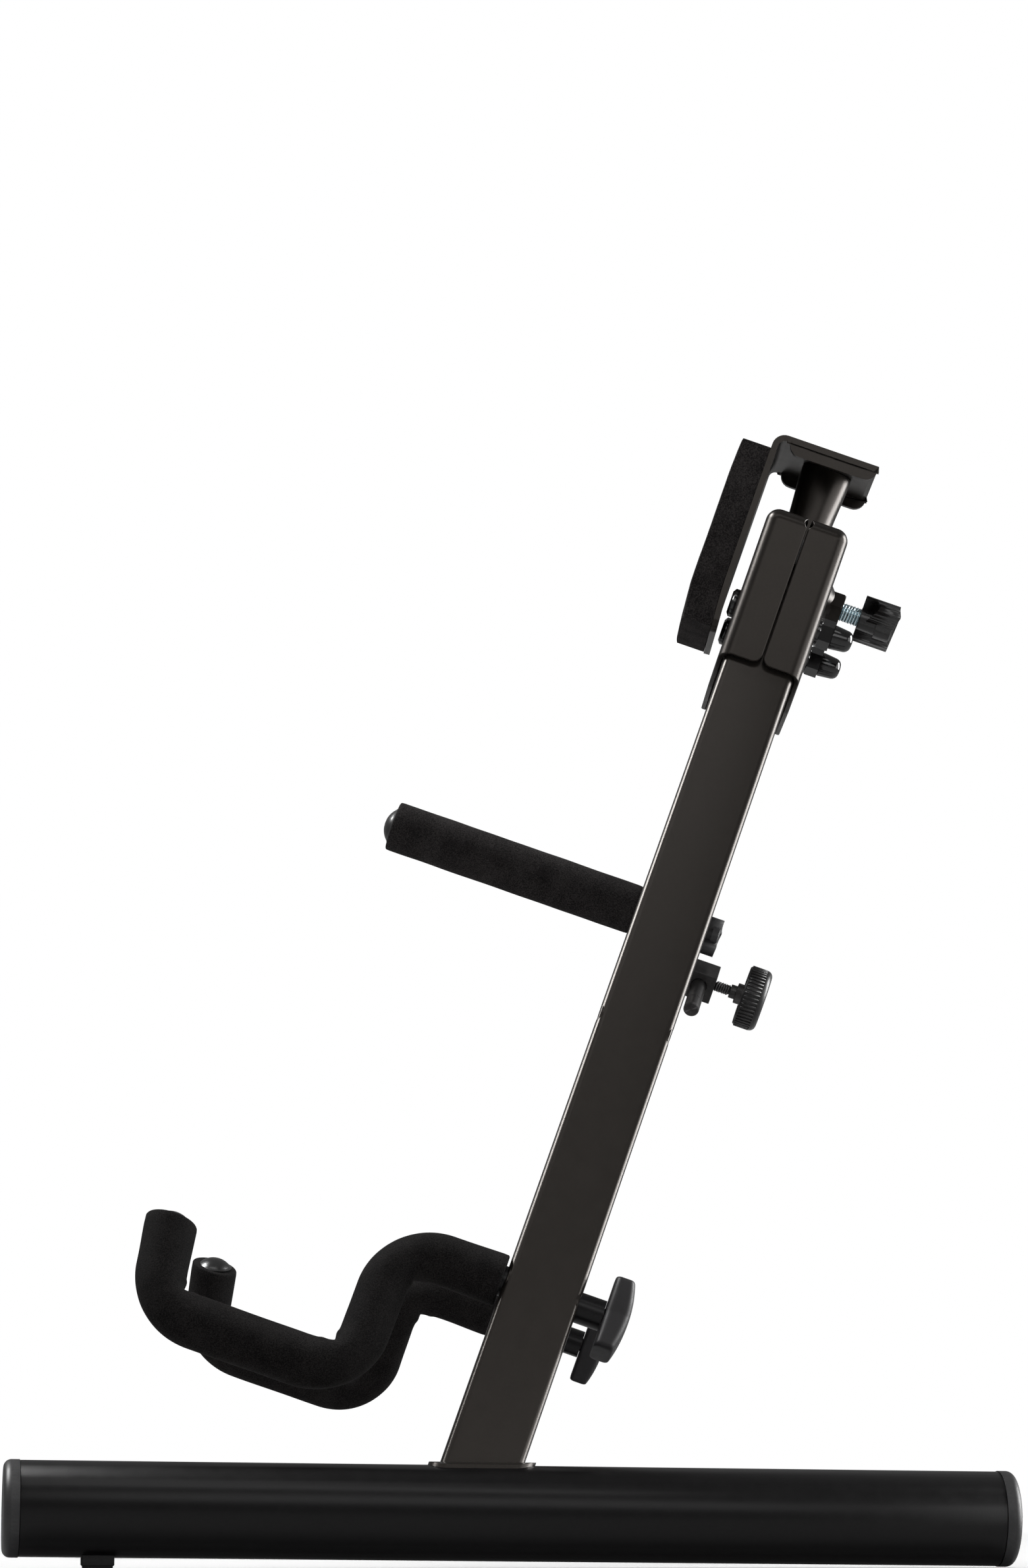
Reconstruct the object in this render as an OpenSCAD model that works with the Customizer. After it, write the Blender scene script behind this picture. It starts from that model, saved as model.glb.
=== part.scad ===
// Folding guitar stand: two splayed legs in a pressed hinge box, a sliding
// mast with a padded neck rest, two foam covered cradle arms and a foam peg.

/* [Stance] */
// Backward lean of the mast in degrees
lean = 19.3; // [15:0.1:23]
// Splay of each leg from the mast in degrees
splay = 21; // [18:0.5:24]
// Length from a leg's pivot to the axis of its foot tube
leg_len = 419; // [390:1:450]
// Distance of each leg's pivot from the middle plane
pivot_y = 30; // [29:0.5:33]

/* [Legs] */
// Width of the flat leg tube, front to back
leg_w = 30; // [26:0.5:34]
// Thickness of the flat leg tube
leg_t = 15; // [14:0.5:16]
// Wall of the leg tube
leg_wall = 1.5; // [1:0.1:2]
// Corner radius of the leg tube
leg_r = 3; // [2:0.25:4]
// Length of the leg above its pivot
leg_top = 12; // [9:0.5:13]
// Height of the lower arm hole above the foot axis
hole_low = 94; // [85:1:105]
// Distance from the lower to the upper arm hole
hole_pitch = 120; // [80:1:150]

/* [Feet] */
// Diameter of a foot tube
foot_d = 35.5; // [32:0.5:38]
// Length of a foot, caps included
foot_len = 380; // [340:1:420]
// Toe angle of a foot in degrees
toe = 7; // [5:0.5:8]
// Downward slope of a foot toward the back in degrees
foot_fall = 0.6; // [0.4:0.1:1]
// Visible length of a foot cap
cap_len = 6; // [4:0.5:8]
// Distance of the front pad from the front end of the foot
pad_set = 35; // [25:1:60]
// Side of the front pad
pad_side = 12; // [10:0.5:16]

/* [Hinge box] */
// Sheet thickness of the hinge box
sheet = 2.2; // [1.8:0.1:2.5]
// Top of the hinge box above the pivots
box_top = 40.5; // [38:0.5:44]
// Lower edge of the box's side flanges below the pivots
flange_low = 24.8; // [22:0.2:26]
// Lower edge of the box's front and back tabs below the pivots
tab_low = 36; // [30:0.5:42]
// Half width of the tabs at their lower edge
tab_hw = 26; // [20:0.5:34]

/* [Mast and head] */
// Diameter of the mast tube
mast_d = 19; // [16:0.5:20]
// Distance of the mast's lower end below the pivots
mast_low = 203; // [190:1:205]
// Top face of the head bracket above the pivots
head_top = 75.2; // [72:0.2:90]
// Half width of the head bracket
head_hw = 28.5; // [25:0.5:34]
// Thickness of the neck pad
pad_t = 13.2; // [10:0.2:18]
// Bend of the lower neck plate in degrees
plate_bend = 3.8; // [2:0.2:4]

/* [Clamp screw] */
// Height of the clamp screw above the pivots
clamp_z = 18; // [15:0.5:22]
// Diameter of the clamp screw
clamp_d = 8; // [6:0.5:8]
// Reach of the clamp knob behind the middle plane
knob_out = 48; // [46:0.5:56]

/* [Peg] */
// Distance of the peg's axis below the pivots
peg_z = 131; // [125:1:140]
// Diameter of the peg's foam
peg_foam_d = 21; // [18:0.5:24]
// Reach of the peg's foam in front of the mast
peg_out = 123; // [100:1:140]
// Wall of the peg's collar around the guide tube
collar_wall = 2.9; // [2:0.1:4]

/* [Rod clamp] */
// Side of the square rod block
block_s = 12.5; // [11:0.5:13]
// Turn of the rod block about its screw in degrees
block_turn = 32; // [0:1:45]
// Diameter of the rod
rod_d = 6.5; // [5:0.25:7]
// Reach of the rod beyond its block
rod_out = 24; // [16:1:30]
// Diameter of the ribbed knob
dial_d = 23; // [20:0.5:26]

/* [Cradle arms] */
// Diameter of an arm's rod
arm_d = 12; // [10:0.5:12.5]
// Diameter of an arm's foam
arm_foam_d = 19.6; // [17:0.2:22]
// Reach of the first bend in front of the leg's middle
arm_fall_x = 58; // [50:1:70]
// Drop of the arm from its tail to its lower run
arm_drop = 58; // [50:1:62]
// Reach of the upturned tip in front of the leg's middle
arm_out = 139; // [120:1:150]
// Height of the upturned tip over the lower run
arm_tip = 36; // [28:1:48]
// Radius of the arm's bends
arm_bend = 20; // [16:1:24]

/* [Hidden] */
$fn = 64;
fit = 0.05;
gap = 0.4;
lift = 0.9;
big = 400;
eps = 0.01;

foot_r = foot_d / 2;
cap_r = foot_r + 0.25;
cap_round = 3;
cap_plug = 14;
foot_wall = 1.5;
foot_z = (foot_len / 2 - cap_round) * sin(foot_fall) + cap_r * cos(foot_fall);

leg_run = leg_len * cos(splay);
joint_x = -18.7;
joint_z = foot_z + (-joint_x) * sin(foot_fall);
pivot_x = joint_x + leg_run * sin(lean);
pivot_z = joint_z + leg_run * cos(lean);
foot_y = pivot_y + leg_len * sin(splay) + joint_x * tan(toe);

box_in = leg_w / 2 + gap;
box_x = box_in + sheet;
box_corner = 4;
seam = 0.25;
// the spread legs rest on the lower edges of the side flanges
box_in_y = pivot_y + flange_low * tan(splay) + (leg_t / 2 + gap) / cos(splay);
box_hw = box_in_y + sheet;
flange_round = 4;
bolt_d = 6;
bolt_head_d = 12;
bolt_head_h = 2.9;
nut_af = 10;
nut_h = 5.8;
dome_r = 5;
dome_h = 8.7;
nut_gap = 0.9;

guide_in = mast_d / 2 + fit;
guide_out = guide_in + 1.5;
collar_d = 2 * (guide_out + fit + collar_wall);
guide_low = mast_low + 3;
bush_hw = 16;
bush_h = 11;
bush_low_z = -20;

plate_t = 2.6;
web_t = 3;
head_back = 19.7;
web_round = 4;
plate_gap = 2.5;
plate_x = -(box_x + bolt_head_h + plate_gap + plate_t);
head_drop = 7.2;
kink_z = 5.2;
plate_low = 13.5;
pad_top = head_top - 7.2;
pad_low = plate_low - 1.5;

clamp_af = 13;
clamp_nut_h = 7.4;
thumb_len = 15;
thumb_half = 13;
thumb_t = 9;
thumb_hub = 13;

peg_screw_d = 5;
peg_knob_len = 8.2;
peg_knob_half = 9.6;
peg_knob_t = 7;
peg_knob_hub = 10;

collar_over = 12;
block_drop = 19;
collar_under = block_drop + 8;
collar_top = -peg_z + collar_over;
collar_low = -peg_z - collar_under;
block_z = -peg_z - block_drop;
block_x0 = collar_d / 2 - 0.5;
block_x1 = block_x0 + 12.8;
dial_x0 = block_x1 + 12.1;
dial_x1 = dial_x0 + 9.1;

low_z = -leg_len + hole_low;
high_z = low_z + hole_pitch;
liner_d = leg_t - 0.4;
arm_r = arm_d / 2;
tail_x = leg_w / 2 + 9.8;
foam_x = -(leg_w / 2 + lift);
wing_half = 15.3;
wing_w = 16.6;
wing_h = 10.3;
wing_dome = 58;
wing_bite = 6;
wing_bite_z = wing_half / 2;

// Places its children in the leaning frame of the mast, pivots at height zero
module stand() {
    translate([pivot_x, 0, pivot_z]) rotate([0, lean, 0]) children();
}

// Places its children in the frame of one leg, side -1 near and 1 far
module leg_frame(side) {
    stand() translate([0, side * pivot_y, 0]) rotate([side * splay, 0, 0]) children();
}

// Places its children on the axis of one foot tube, front toward -x
module foot_frame(side) {
    translate([0, side * foot_y, foot_z])
        rotate([0, 0, -side * toe])
            rotate([0, foot_fall, 0])
                children();
}

module rod_x(x0, x1, d) {
    translate([x0, 0, 0]) rotate([0, 90, 0]) cylinder(d = d, h = x1 - x0);
}

module rod_z(z0, z1, d) {
    translate([0, 0, z0]) cylinder(d = d, h = z1 - z0);
}

// Rectangle with rounded corners, centred
module soft_rect(w, t, r) {
    square([w - 2 * r, t], center = true);
    square([w, t - 2 * r], center = true);
    for (x = [-1, 1]) {
        for (y = [-1, 1]) {
            translate([x * (w / 2 - r), y * (t / 2 - r)]) circle(r = r);
        }
    }
}

// Solid turned about x from a profile of [x, radius] points
module turned_x(points) {
    rotate([0, 90, 0]) rotate([0, 0, 180]) rotate_extrude() polygon([for (p = points) [p[1], p[0]]]);
}

// Cylinder along x from x0 with a ball shaped end at x1
module dome_x(x0, x1, r, ball) {
    translate([x0, 0, 0]) rotate([0, 90, 0]) rotate_extrude() intersection() {
        square([r, x1 - x0]);
        translate([0, x1 - x0 - ball]) circle(r = ball);
    }
}

// Hexagon prism along x
module hex_x(x0, x1, af) {
    translate([x0, 0, 0])
        rotate([0, 90, 0])
            linear_extrude(x1 - x0)
                intersection_for (a = [0, 60, 120]) rotate(a) square([af, 4 * af], center = true);
}

// Box half: front for dir -1, back for dir 1, both halves meeting in the seam
module box_profile() {
    difference() {
        soft_rect(2 * box_x, 2 * box_hw, box_corner);
        soft_rect(2 * box_in, 2 * box_in_y, box_corner - sheet);
    }
}

module tab_outline() {
    wide = box_hw - box_corner;
    polygon([[-wide, box_top - box_corner], [wide, box_top - box_corner], [wide, -flange_low],
        [tab_hw, -tab_low], [-tab_hw, -tab_low], [-wide, -flange_low]]);
}

// Takes the sharp lower corner off a side flange beside the seam
module flange_round_cut(dir) {
    r = flange_round;
    translate([dir * seam, -flange_low, -2 * sheet]) linear_extrude(4 * sheet) difference() {
        translate([dir < 0 ? -r : 0, 0]) translate([dir < 0 ? 0 : -1, -1]) square([r + 1, r + 1]);
        translate([dir * r, r]) circle(r = r);
    }
}

module box_half(dir) {
    difference() {
        union() {
            // side flanges and face down to the flange edge
            difference() {
                translate([0, 0, -flange_low]) linear_extrude(flange_low + box_top - box_corner) box_profile();
                translate([dir < 0 ? -seam : -big, -big, -big]) cube([big + seam, 2 * big, 2 * big]);
            }
            // top wall with its rolled edge
            intersection() {
                translate([0, 0, box_top - box_corner]) difference() {
                    union() {
                        linear_extrude(box_corner - 1.2) soft_rect(2 * box_x, 2 * box_hw, box_corner);
                        linear_extrude(box_corner - 0.4)
                            soft_rect(2 * box_x - 0.8, 2 * box_hw - 0.8, box_corner - 0.4);
                        linear_extrude(box_corner) soft_rect(2 * box_x - 2.4, 2 * box_hw - 2.4, box_corner - 1.2);
                    }
                    translate([0, 0, -eps])
                        linear_extrude(box_corner - sheet)
                            soft_rect(2 * box_in, 2 * box_in_y, box_corner - sheet);
                }
                translate([dir < 0 ? -big - seam : seam, -big, -big]) cube([big, 2 * big, 2 * big]);
            }
            // tab below the flanges
            translate([dir < 0 ? -box_x : box_in, 0, 0])
                rotate([90, 0, 90])
                    linear_extrude(sheet) tab_outline();
        }
        for (y = [-1, 1]) {
            translate([0, y * box_hw, 0]) rotate([90, 0, 0]) flange_round_cut(dir);
        }
        rod_z(box_top - 2 * box_corner, box_top + 1, 2 * guide_out + 0.2);
        for (y = [-1, 1]) {
            translate([0, y * pivot_y, 0]) rod_x(-big, big, bolt_d + 2 * fit);
        }
        translate([0, 0, clamp_z]) rod_x(0, big, clamp_d + 2);
    }
}

module box_front() {
    color("dimgray") stand() box_half(-1);
}

module box_back() {
    color("dimgray") stand() box_half(1);
}

module pivot_bolt(side) {
    color("dimgray") stand() translate([0, side * pivot_y, 0]) {
        rod_x(-box_x - eps, box_x + nut_gap + nut_h, bolt_d);
        turned_x([[-box_x - bolt_head_h, 0], [-box_x - bolt_head_h, bolt_head_d / 2 - 1.5],
            [-box_x - bolt_head_h + 1, bolt_head_d / 2], [-box_x, bolt_head_d / 2], [-box_x, 0]]);
    }
}

module near_pivot_bolt() {
    pivot_bolt(-1);
}

module far_pivot_bolt() {
    pivot_bolt(1);
}

module acorn_nut(side) {
    x0 = box_x;
    x1 = x0 + nut_gap;
    x2 = x1 + nut_h;
    color("black") stand() translate([0, side * pivot_y, 0]) difference() {
        union() {
            // washer, hexagon with bevelled corners, dome
            rod_x(x0, x1, nut_af + 2);
            intersection() {
                hex_x(x1, x2, nut_af);
                turned_x([[x1, 0], [x1, nut_af * 0.53], [x1 + 0.6, nut_af * 0.58], [x2 - 0.6, nut_af * 0.58],
                    [x2, nut_af * 0.53], [x2, 0]]);
            }
            dome_x(x2 - 0.5, x2 + dome_h, dome_r, dome_r + 1.4);
        }
        rod_x(x0 - 1, x2, bolt_d);
    }
}

module near_acorn_nut() {
    acorn_nut(-1);
}

module far_acorn_nut() {
    acorn_nut(1);
}

module clamp_nut() {
    color("dimgray") stand() translate([0, 0, clamp_z]) difference() {
        union() {
            intersection() {
                hex_x(box_x, box_x + clamp_nut_h, clamp_af);
                turned_x([[box_x, 0], [box_x, clamp_af * 0.58], [box_x + clamp_nut_h - 1, clamp_af * 0.58],
                    [box_x + clamp_nut_h, clamp_af * 0.51], [box_x + clamp_nut_h, 0]]);
            }
            // weld fillet that holds the nut on the back
            turned_x([[box_x, 0], [box_x, clamp_af * 0.74], [box_x + 0.8, clamp_af * 0.66],
                [box_x + 2.6, clamp_af * 0.5], [box_x + 2.6, 0]]);
        }
        rod_x(0, big, clamp_d + 2 * fit);
    }
}

module guide_tube() {
    color("dimgray") stand() difference() {
        rod_z(-guide_low, box_top, 2 * guide_out);
        rod_z(-guide_low - 1, box_top + 1, 2 * guide_in);
        translate([0, 0, clamp_z]) rod_x(0, big, clamp_d + 1);
    }
}

module bush(z0) {
    color("black") stand() difference() {
        translate([-box_in, -bush_hw, z0]) cube([2 * box_in, 2 * bush_hw, bush_h]);
        rod_z(z0 - 1, z0 + bush_h + 1, 2 * guide_out + 2 * fit);
    }
}

module upper_bush() {
    bush(box_top - sheet - bush_h);
}

module lower_bush() {
    bush(bush_low_z);
}

// Leg tube cut to the round of its foot tube at the bottom
module leg_tube(side) {
    color("dimgray") difference() {
        union() {
            leg_frame(side) translate([0, 0, -leg_len]) difference() {
                linear_extrude(leg_len + leg_top) rotate(90) soft_rect(leg_t, leg_w, leg_r);
                translate([0, 0, -1])
                    linear_extrude(leg_len + leg_top + 2)
                        rotate(90) soft_rect(leg_t - 2 * leg_wall, leg_w - 2 * leg_wall, leg_r - leg_wall + 0.5);
            }
            // liners welded through the tube for the tail of an arm
            leg_frame(side) for (z = [low_z, high_z]) {
                translate([0, 0, z]) rod_x((leg_wall - leg_w) / 2, (leg_w - leg_wall) / 2, liner_d);
            }
        }
        foot_frame(side) rod_x(-foot_len, foot_len, foot_d);
        // everything below the foot's axis is cut away
        foot_frame(side) translate([-big / 2, -big / 2, -big]) cube([big, big, big]);
        leg_frame(side) {
            rod_x(-big, big, bolt_d + 4 + 2 * fit);
            for (z = [low_z, high_z]) {
                translate([0, 0, z]) rod_x(-big, big, arm_d + 3 * fit);
            }
        }
    }
}

module near_leg_tube() {
    leg_tube(-1);
}

module far_leg_tube() {
    leg_tube(1);
}

module pivot_sleeve(side) {
    color("silver") leg_frame(side) difference() {
        rod_x(-leg_w / 2, leg_w / 2, bolt_d + 4);
        rod_x(-leg_w, leg_w, bolt_d + 2 * fit);
    }
}

module near_pivot_sleeve() {
    pivot_sleeve(-1);
}

module far_pivot_sleeve() {
    pivot_sleeve(1);
}

// Weld bead round the foot of the leg, a thin lip that lies on the foot tube
module leg_weld(side) {
    bead = 4;
    color("dimgray") difference() {
        intersection() {
            leg_frame(side) translate([0, 0, -leg_len])
                linear_extrude(leg_len) rotate(90) soft_rect(leg_t + 2 * bead, leg_w + 2 * bead, leg_r + bead);
            foot_frame(side) rod_x(-foot_len, foot_len, foot_d + 2.4);
        }
        foot_frame(side) rod_x(-foot_len, foot_len, foot_d);
        foot_frame(side) translate([-big / 2, -big / 2, -big]) cube([big, big, big]);
        leg_frame(side) translate([0, 0, -leg_len - leg_t])
            linear_extrude(leg_len) rotate(90) soft_rect(leg_t, leg_w, leg_r);
    }
}

module near_leg_weld() {
    leg_weld(-1);
}

module far_leg_weld() {
    leg_weld(1);
}

module foot_tube(side) {
    half = foot_len / 2 - cap_len;
    color("dimgray") foot_frame(side) difference() {
        rod_x(-half, half, foot_d);
        rod_x(-half - 1, half + 1, foot_d - 2 * foot_wall);
    }
}

module near_foot_tube() {
    foot_tube(-1);
}

module far_foot_tube() {
    foot_tube(1);
}

// Plastic cap: rounded disc with a hollow ribbed plug inside the tube
module foot_cap(side, dir) {
    half = foot_len / 2;
    plug_r = foot_r - foot_wall;
    color("black") foot_frame(side) rotate([0, 0, dir > 0 ? 0 : 180]) difference() {
        union() {
            intersection() {
                rod_x(half - cap_len, half, 2 * cap_r);
                union() {
                    rod_x(half - cap_len, half - cap_round, 2 * cap_r);
                    rod_x(half - cap_len, half, 2 * (cap_r - cap_round));
                    translate([half - cap_round, 0, 0])
                        rotate([0, 90, 0])
                            rotate_extrude() translate([cap_r - cap_round, 0]) circle(r = cap_round);
                }
            }
            rod_x(half - cap_len - cap_plug, half - cap_len + eps, 2 * plug_r);
        }
        rod_x(half - cap_len - cap_plug - 1, half - cap_len, 2 * plug_r - 4);
    }
}

module near_front_cap() {
    foot_cap(-1, -1);
}

module near_rear_cap() {
    foot_cap(-1, 1);
}

module far_front_cap() {
    foot_cap(1, -1);
}

module far_rear_cap() {
    foot_cap(1, 1);
}

// Rubber pad whose underside lies on the floor in front
module front_pad(side) {
    reach = foot_len / 2 - pad_set;
    color("black") difference() {
        translate([0, side * foot_y, 0])
            rotate([0, 0, -side * toe])
                translate([-reach - pad_side / 2, -pad_side / 2, 0]) {
                    translate([0, 0, 1]) cube([pad_side, pad_side, foot_r / 2]);
                    translate([0.5, 0.5, 0]) cube([pad_side - 1, pad_side - 1, 2]);
                }
        foot_frame(side) rod_x(-foot_len, foot_len, foot_d);
    }
}

module near_front_pad() {
    front_pad(-1);
}

module far_front_pad() {
    front_pad(1);
}

module mast() {
    top = head_top - web_t;
    color("dimgray") stand() difference() {
        rod_z(-mast_low, top, mast_d);
        rod_z(-mast_low - 1, top + 1, mast_d - 3);
    }
}

module mast_plug() {
    color("black") stand() {
        rod_z(-mast_low - 2, -mast_low + eps, mast_d - 1);
        rod_z(-mast_low, -mast_low + 12, mast_d - 3);
    }
}

// Pressed bracket: channel over the mast whose front turns down into the neck plate
module head_bracket() {
    web_z = head_top - web_t;
    plate_in = plate_x + plate_t;
    color("dimgray") stand() {
        // web with short side flanges, rounded corners at the back
        difference() {
            translate([plate_x, 0, web_z - head_drop + web_t])
                rotate([90, 0, 90])
                    linear_extrude(head_back - plate_x) difference() {
                        translate([0, head_drop / 2]) soft_rect(2 * head_hw, head_drop, 2.4);
                        translate([0, (head_drop - web_t) / 2 - 1])
                            square([2 * (head_hw - plate_t), head_drop - web_t + 2], center = true);
                    }
            for (y = [-1, 1]) {
                translate([head_back - web_round, y * head_hw, web_z - head_drop + web_t + web_round])
                    rotate([90, 0, 0]) difference() {
                        translate([0, -2 * web_round, -2 * web_round])
                            cube([2 * web_round, 2 * web_round, 4 * web_round]);
                        translate([0, 0, -3 * web_round]) cylinder(r = web_round, h = 6 * web_round);
                    }
            }
        }
        // plate, straight to the bend, then turned back a little
        translate([plate_x, -head_hw, kink_z]) cube([plate_t, 2 * head_hw, head_top - kink_z - 2.4]);
        translate([plate_x, 0, kink_z])
            rotate([0, -plate_bend, 0])
                rotate([90, 0, 90])
                    linear_extrude(plate_t) translate([0, -(plate_low + kink_z) / 2 + 1])
                        soft_rect(2 * head_hw, plate_low + kink_z + 2, 5);
    }
}

module neck_pad() {
    color("black") stand() {
        translate([plate_x - pad_t, -head_hw, kink_z]) cube([pad_t, 2 * head_hw, pad_top - kink_z]);
        translate([plate_x, 0, kink_z])
            rotate([0, -plate_bend, 0])
                translate([-pad_t, -head_hw, -pad_low - kink_z])
                    cube([pad_t, 2 * head_hw, pad_low + kink_z + 0.5]);
    }
}

module clamp_screw() {
    color("silver") stand() translate([0, 0, clamp_z])
        rod_x(mast_d / 2 + gap, knob_out - thumb_len + 3, clamp_d);
}

// Two lobed thumb knob along x with hollow lobes, front face at x0
module thumb_knob(x0, x1, half, thick, hub_d, stud_d) {
    lobe = thick / 2;
    difference() {
        union() {
            translate([x0, 0, 0]) rotate([0, 90, 0]) linear_extrude(x1 - x0) {
                circle(r = hub_d / 2);
                for (s = [-1, 1]) {
                    translate([0, s * (half - lobe)]) circle(r = lobe);
                    translate([-s * lobe * 0.2, s * (half - lobe) / 2])
                        square([thick * 0.8, half - lobe], center = true);
                }
            }
        }
        for (s = [-1, 1]) {
            translate([x0 - 1, s * (half - lobe - 0.5), 0])
                rotate([0, 90, 0]) cylinder(r = lobe - 1.8, h = (x1 - x0) * 0.6);
        }
        rod_x(x0 - 1, x0 + 3, stud_d);
    }
}

module clamp_knob() {
    color("black") stand() translate([0, 0, clamp_z])
        rotate([-35, 0, 0])
            thumb_knob(knob_out - thumb_len, knob_out, thumb_half, thumb_t, thumb_hub, clamp_d);
}

module peg_collar() {
    color("dimgray") stand() difference() {
        rod_z(collar_low, collar_top, collar_d);
        rod_z(collar_low - 1, collar_top + 1, 2 * (guide_out + fit));
        translate([0, 0, -peg_z]) rod_x(0, big, peg_screw_d + 2 * fit);
        translate([-collar_d / 2 - 1, 0, -peg_z]) rod_x(0, 1.2, arm_d);
    }
}

module peg_tube() {
    color("dimgray") stand() translate([0, 0, -peg_z]) difference() {
        rod_x(-peg_out, -collar_d / 2 + 0.2, arm_d);
        rod_x(-peg_out - 3, -collar_d / 2 - 3, arm_d - 3);
        stand_clear();
    }
}

// Room for the collar's round wall in the peg's inner end
module stand_clear() {
    rod_z(-collar_d, collar_d, collar_d);
}

module peg_foam() {
    color("black") stand() translate([0, 0, -peg_z]) difference() {
        rod_x(-peg_out, -collar_d / 2 - 1, peg_foam_d);
        rod_x(-peg_out - 1, 0, arm_d);
    }
}

// Domed end cap at x = 0 facing -x, with a stem that fits in the tube behind it
module dome_cap(d, reach) {
    mirror([1, 0, 0]) dome_x(0, reach, d / 2, d * 0.62);
    rod_x(-eps, 8, arm_d - 3);
}

module peg_cap() {
    color("black") stand() translate([-peg_out, 0, -peg_z]) dome_cap(arm_d + 3.4, 3.6);
}

module rod_block() {
    color("dimgray") stand() translate([0, 0, block_z]) rotate([block_turn, 0, 0]) difference() {
        translate([block_x0, -block_s / 2, -block_s / 2]) cube([block_x1 - block_x0, block_s, block_s]);
        translate([(block_x0 + block_x1) / 2, block_s, 0])
            rotate([90, 0, 0]) cylinder(d = rod_d + 2 * fit, h = 2 * block_s);
        rod_x((block_x0 + block_x1) / 2, big, 4 + 2 * fit);
        rotate([-block_turn, 0, 0]) translate([0, 0, -collar_d]) cylinder(d = collar_d, h = 2 * collar_d);
    }
}

module peg_screw() {
    color("silver") stand() translate([0, 0, -peg_z]) rod_x(guide_out + gap, collar_d / 2 + gap + 3, peg_screw_d);
}

module peg_knob() {
    color("black") stand() translate([0, 0, -peg_z])
        rotate([60, 0, 0])
            thumb_knob(collar_d / 2 + gap, collar_d / 2 + gap + peg_knob_len, peg_knob_half, peg_knob_t,
                peg_knob_hub, peg_screw_d);
}

module stop_rod() {
    color("dimgray") stand() translate([(block_x0 + block_x1) / 2, 0, block_z])
        rotate([block_turn, 0, 0]) translate([0, 0, 0]) rotate([90, 0, 0]) {
            translate([0, 0, -block_s]) cylinder(d = rod_d, h = block_s * 1.5 + rod_out - 0.6);
            translate([0, 0, block_s / 2 + rod_out - 0.6]) cylinder(d1 = rod_d, d2 = rod_d - 1.2, h = 0.6);
        }
}

module dial_screw() {
    x0 = (block_x0 + block_x1) / 2 + rod_d / 2 + gap;
    color("dimgray") stand() translate([0, 0, block_z]) {
        rod_x(x0, dial_x0 + 3, 4);
        rod_x(block_x1 + 6.7, block_x1 + 9.4, 5.4);
        rod_x(block_x1 + 9.4, dial_x0, 8.4);
    }
}

// Ribbed knob: ring of half round grip ribs, domed back
module dial_knob() {
    ribs = 36;
    core = dial_d / 2 - 0.6;
    color("black") stand() translate([0, 0, block_z]) difference() {
        union() {
            translate([dial_x0, 0, 0]) rotate([0, 90, 0]) linear_extrude(dial_x1 - dial_x0 - 3) {
                circle(r = core);
                for (a = [0 : ribs - 1]) {
                    rotate(a * 360 / ribs) translate([core - 0.3, 0]) circle(r = 0.7, $fn = 16);
                }
            }
            dome_x(dial_x1 - 3.5, dial_x1, core, 2 * core);
        }
        rod_x(dial_x0 - 1, dial_x0 + 3, 4);
    }
}

// Centre line of an arm: tail, drop, lower run and upturned tip
module arm_line(d, x_start, tip) {
    r = arm_bend;
    run_z = -arm_drop;
    drop_c = -arm_fall_x + r;
    up_c = -arm_out + r;
    rod_x(drop_c, x_start, d);
    bend_piece(drop_c, -r, 0, d);
    translate([-arm_fall_x, 0, 0]) rod_z(run_z + r, -r, d);
    translate([-arm_fall_x - r, 0, run_z + r]) rotate([90, 0, 0]) rotate([0, 0, -90])
        rotate_extrude(angle = 90) translate([r, 0]) circle(d = d);
    translate([0, 0, run_z]) rod_x(up_c, -arm_fall_x - r, d);
    translate([up_c, 0, run_z + r]) rotate([90, 0, 0]) rotate([0, 0, 180])
        rotate_extrude(angle = 90) translate([r, 0]) circle(d = d);
    translate([-arm_out, 0, 0]) rod_z(run_z + r, run_z + tip, d);
}

module bend_piece(x, z, turn, d) {
    translate([x, 0, z]) rotate([90, 0, 0]) rotate([0, 0, 90 + turn])
        rotate_extrude(angle = 90) translate([arm_bend, 0]) circle(d = d);
}

module arm_rod(side) {
    color("dimgray") leg_frame(side) translate([0, 0, low_z]) difference() {
        arm_line(arm_d, tail_x, arm_tip);
        translate([-arm_out, 0, -arm_drop + arm_tip - 12]) rod_z(0, 13, arm_d - 3);
        rod_x(tail_x - 8, tail_x + 1, 6);
    }
}

module arm_foam(side) {
    color("black") leg_frame(side) translate([0, 0, low_z]) difference() {
        arm_line(arm_foam_d, foam_x, arm_tip);
        arm_line(arm_d, foam_x + 1, arm_tip + 1);
    }
}

module arm_cap(side) {
    color("black") leg_frame(side) translate([-arm_out, 0, low_z - arm_drop + arm_tip])
        rotate([0, 90, 0]) dome_cap(arm_d + 3.4, 3.6);
}

module arm_screw(side) {
    color("silver") leg_frame(side) translate([0, 0, low_z]) rod_x(tail_x - 7, tail_x + 4, 6 - 2 * fit);
}

// Tail knob: long wing with a domed back, lobes turned to leave grip hollows
module arm_knob(side) {
    x0 = tail_x + gap;
    tall = 2 * wing_w;
    color("black") leg_frame(side) translate([0, 0, low_z]) difference() {
        intersection() {
            translate([x0, 0, 0]) rotate([0, 90, 0]) linear_extrude(wing_h + 1) soft_rect(2 * wing_half, wing_w, 3);
            translate([x0 + wing_h - wing_dome, wing_w, 0])
                rotate([90, 0, 0]) cylinder(r = wing_dome, h = tall, $fn = 128);
        }
        for (s = [-1, 1]) {
            translate([x0 - 1, -side * s * (wing_w / 2 + 3.2), s * wing_bite_z])
                rotate([0, 90, 0]) cylinder(r = wing_bite, h = 2 * wing_h);
        }
        rod_x(x0 - 1, tail_x + 4, 6 - 2 * fit);
    }
}

module near_arm_rod() {
    arm_rod(-1);
}

module near_arm_foam() {
    arm_foam(-1);
}

module near_arm_cap() {
    arm_cap(-1);
}

module near_arm_screw() {
    arm_screw(-1);
}

module near_arm_knob() {
    arm_knob(-1);
}

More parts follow.
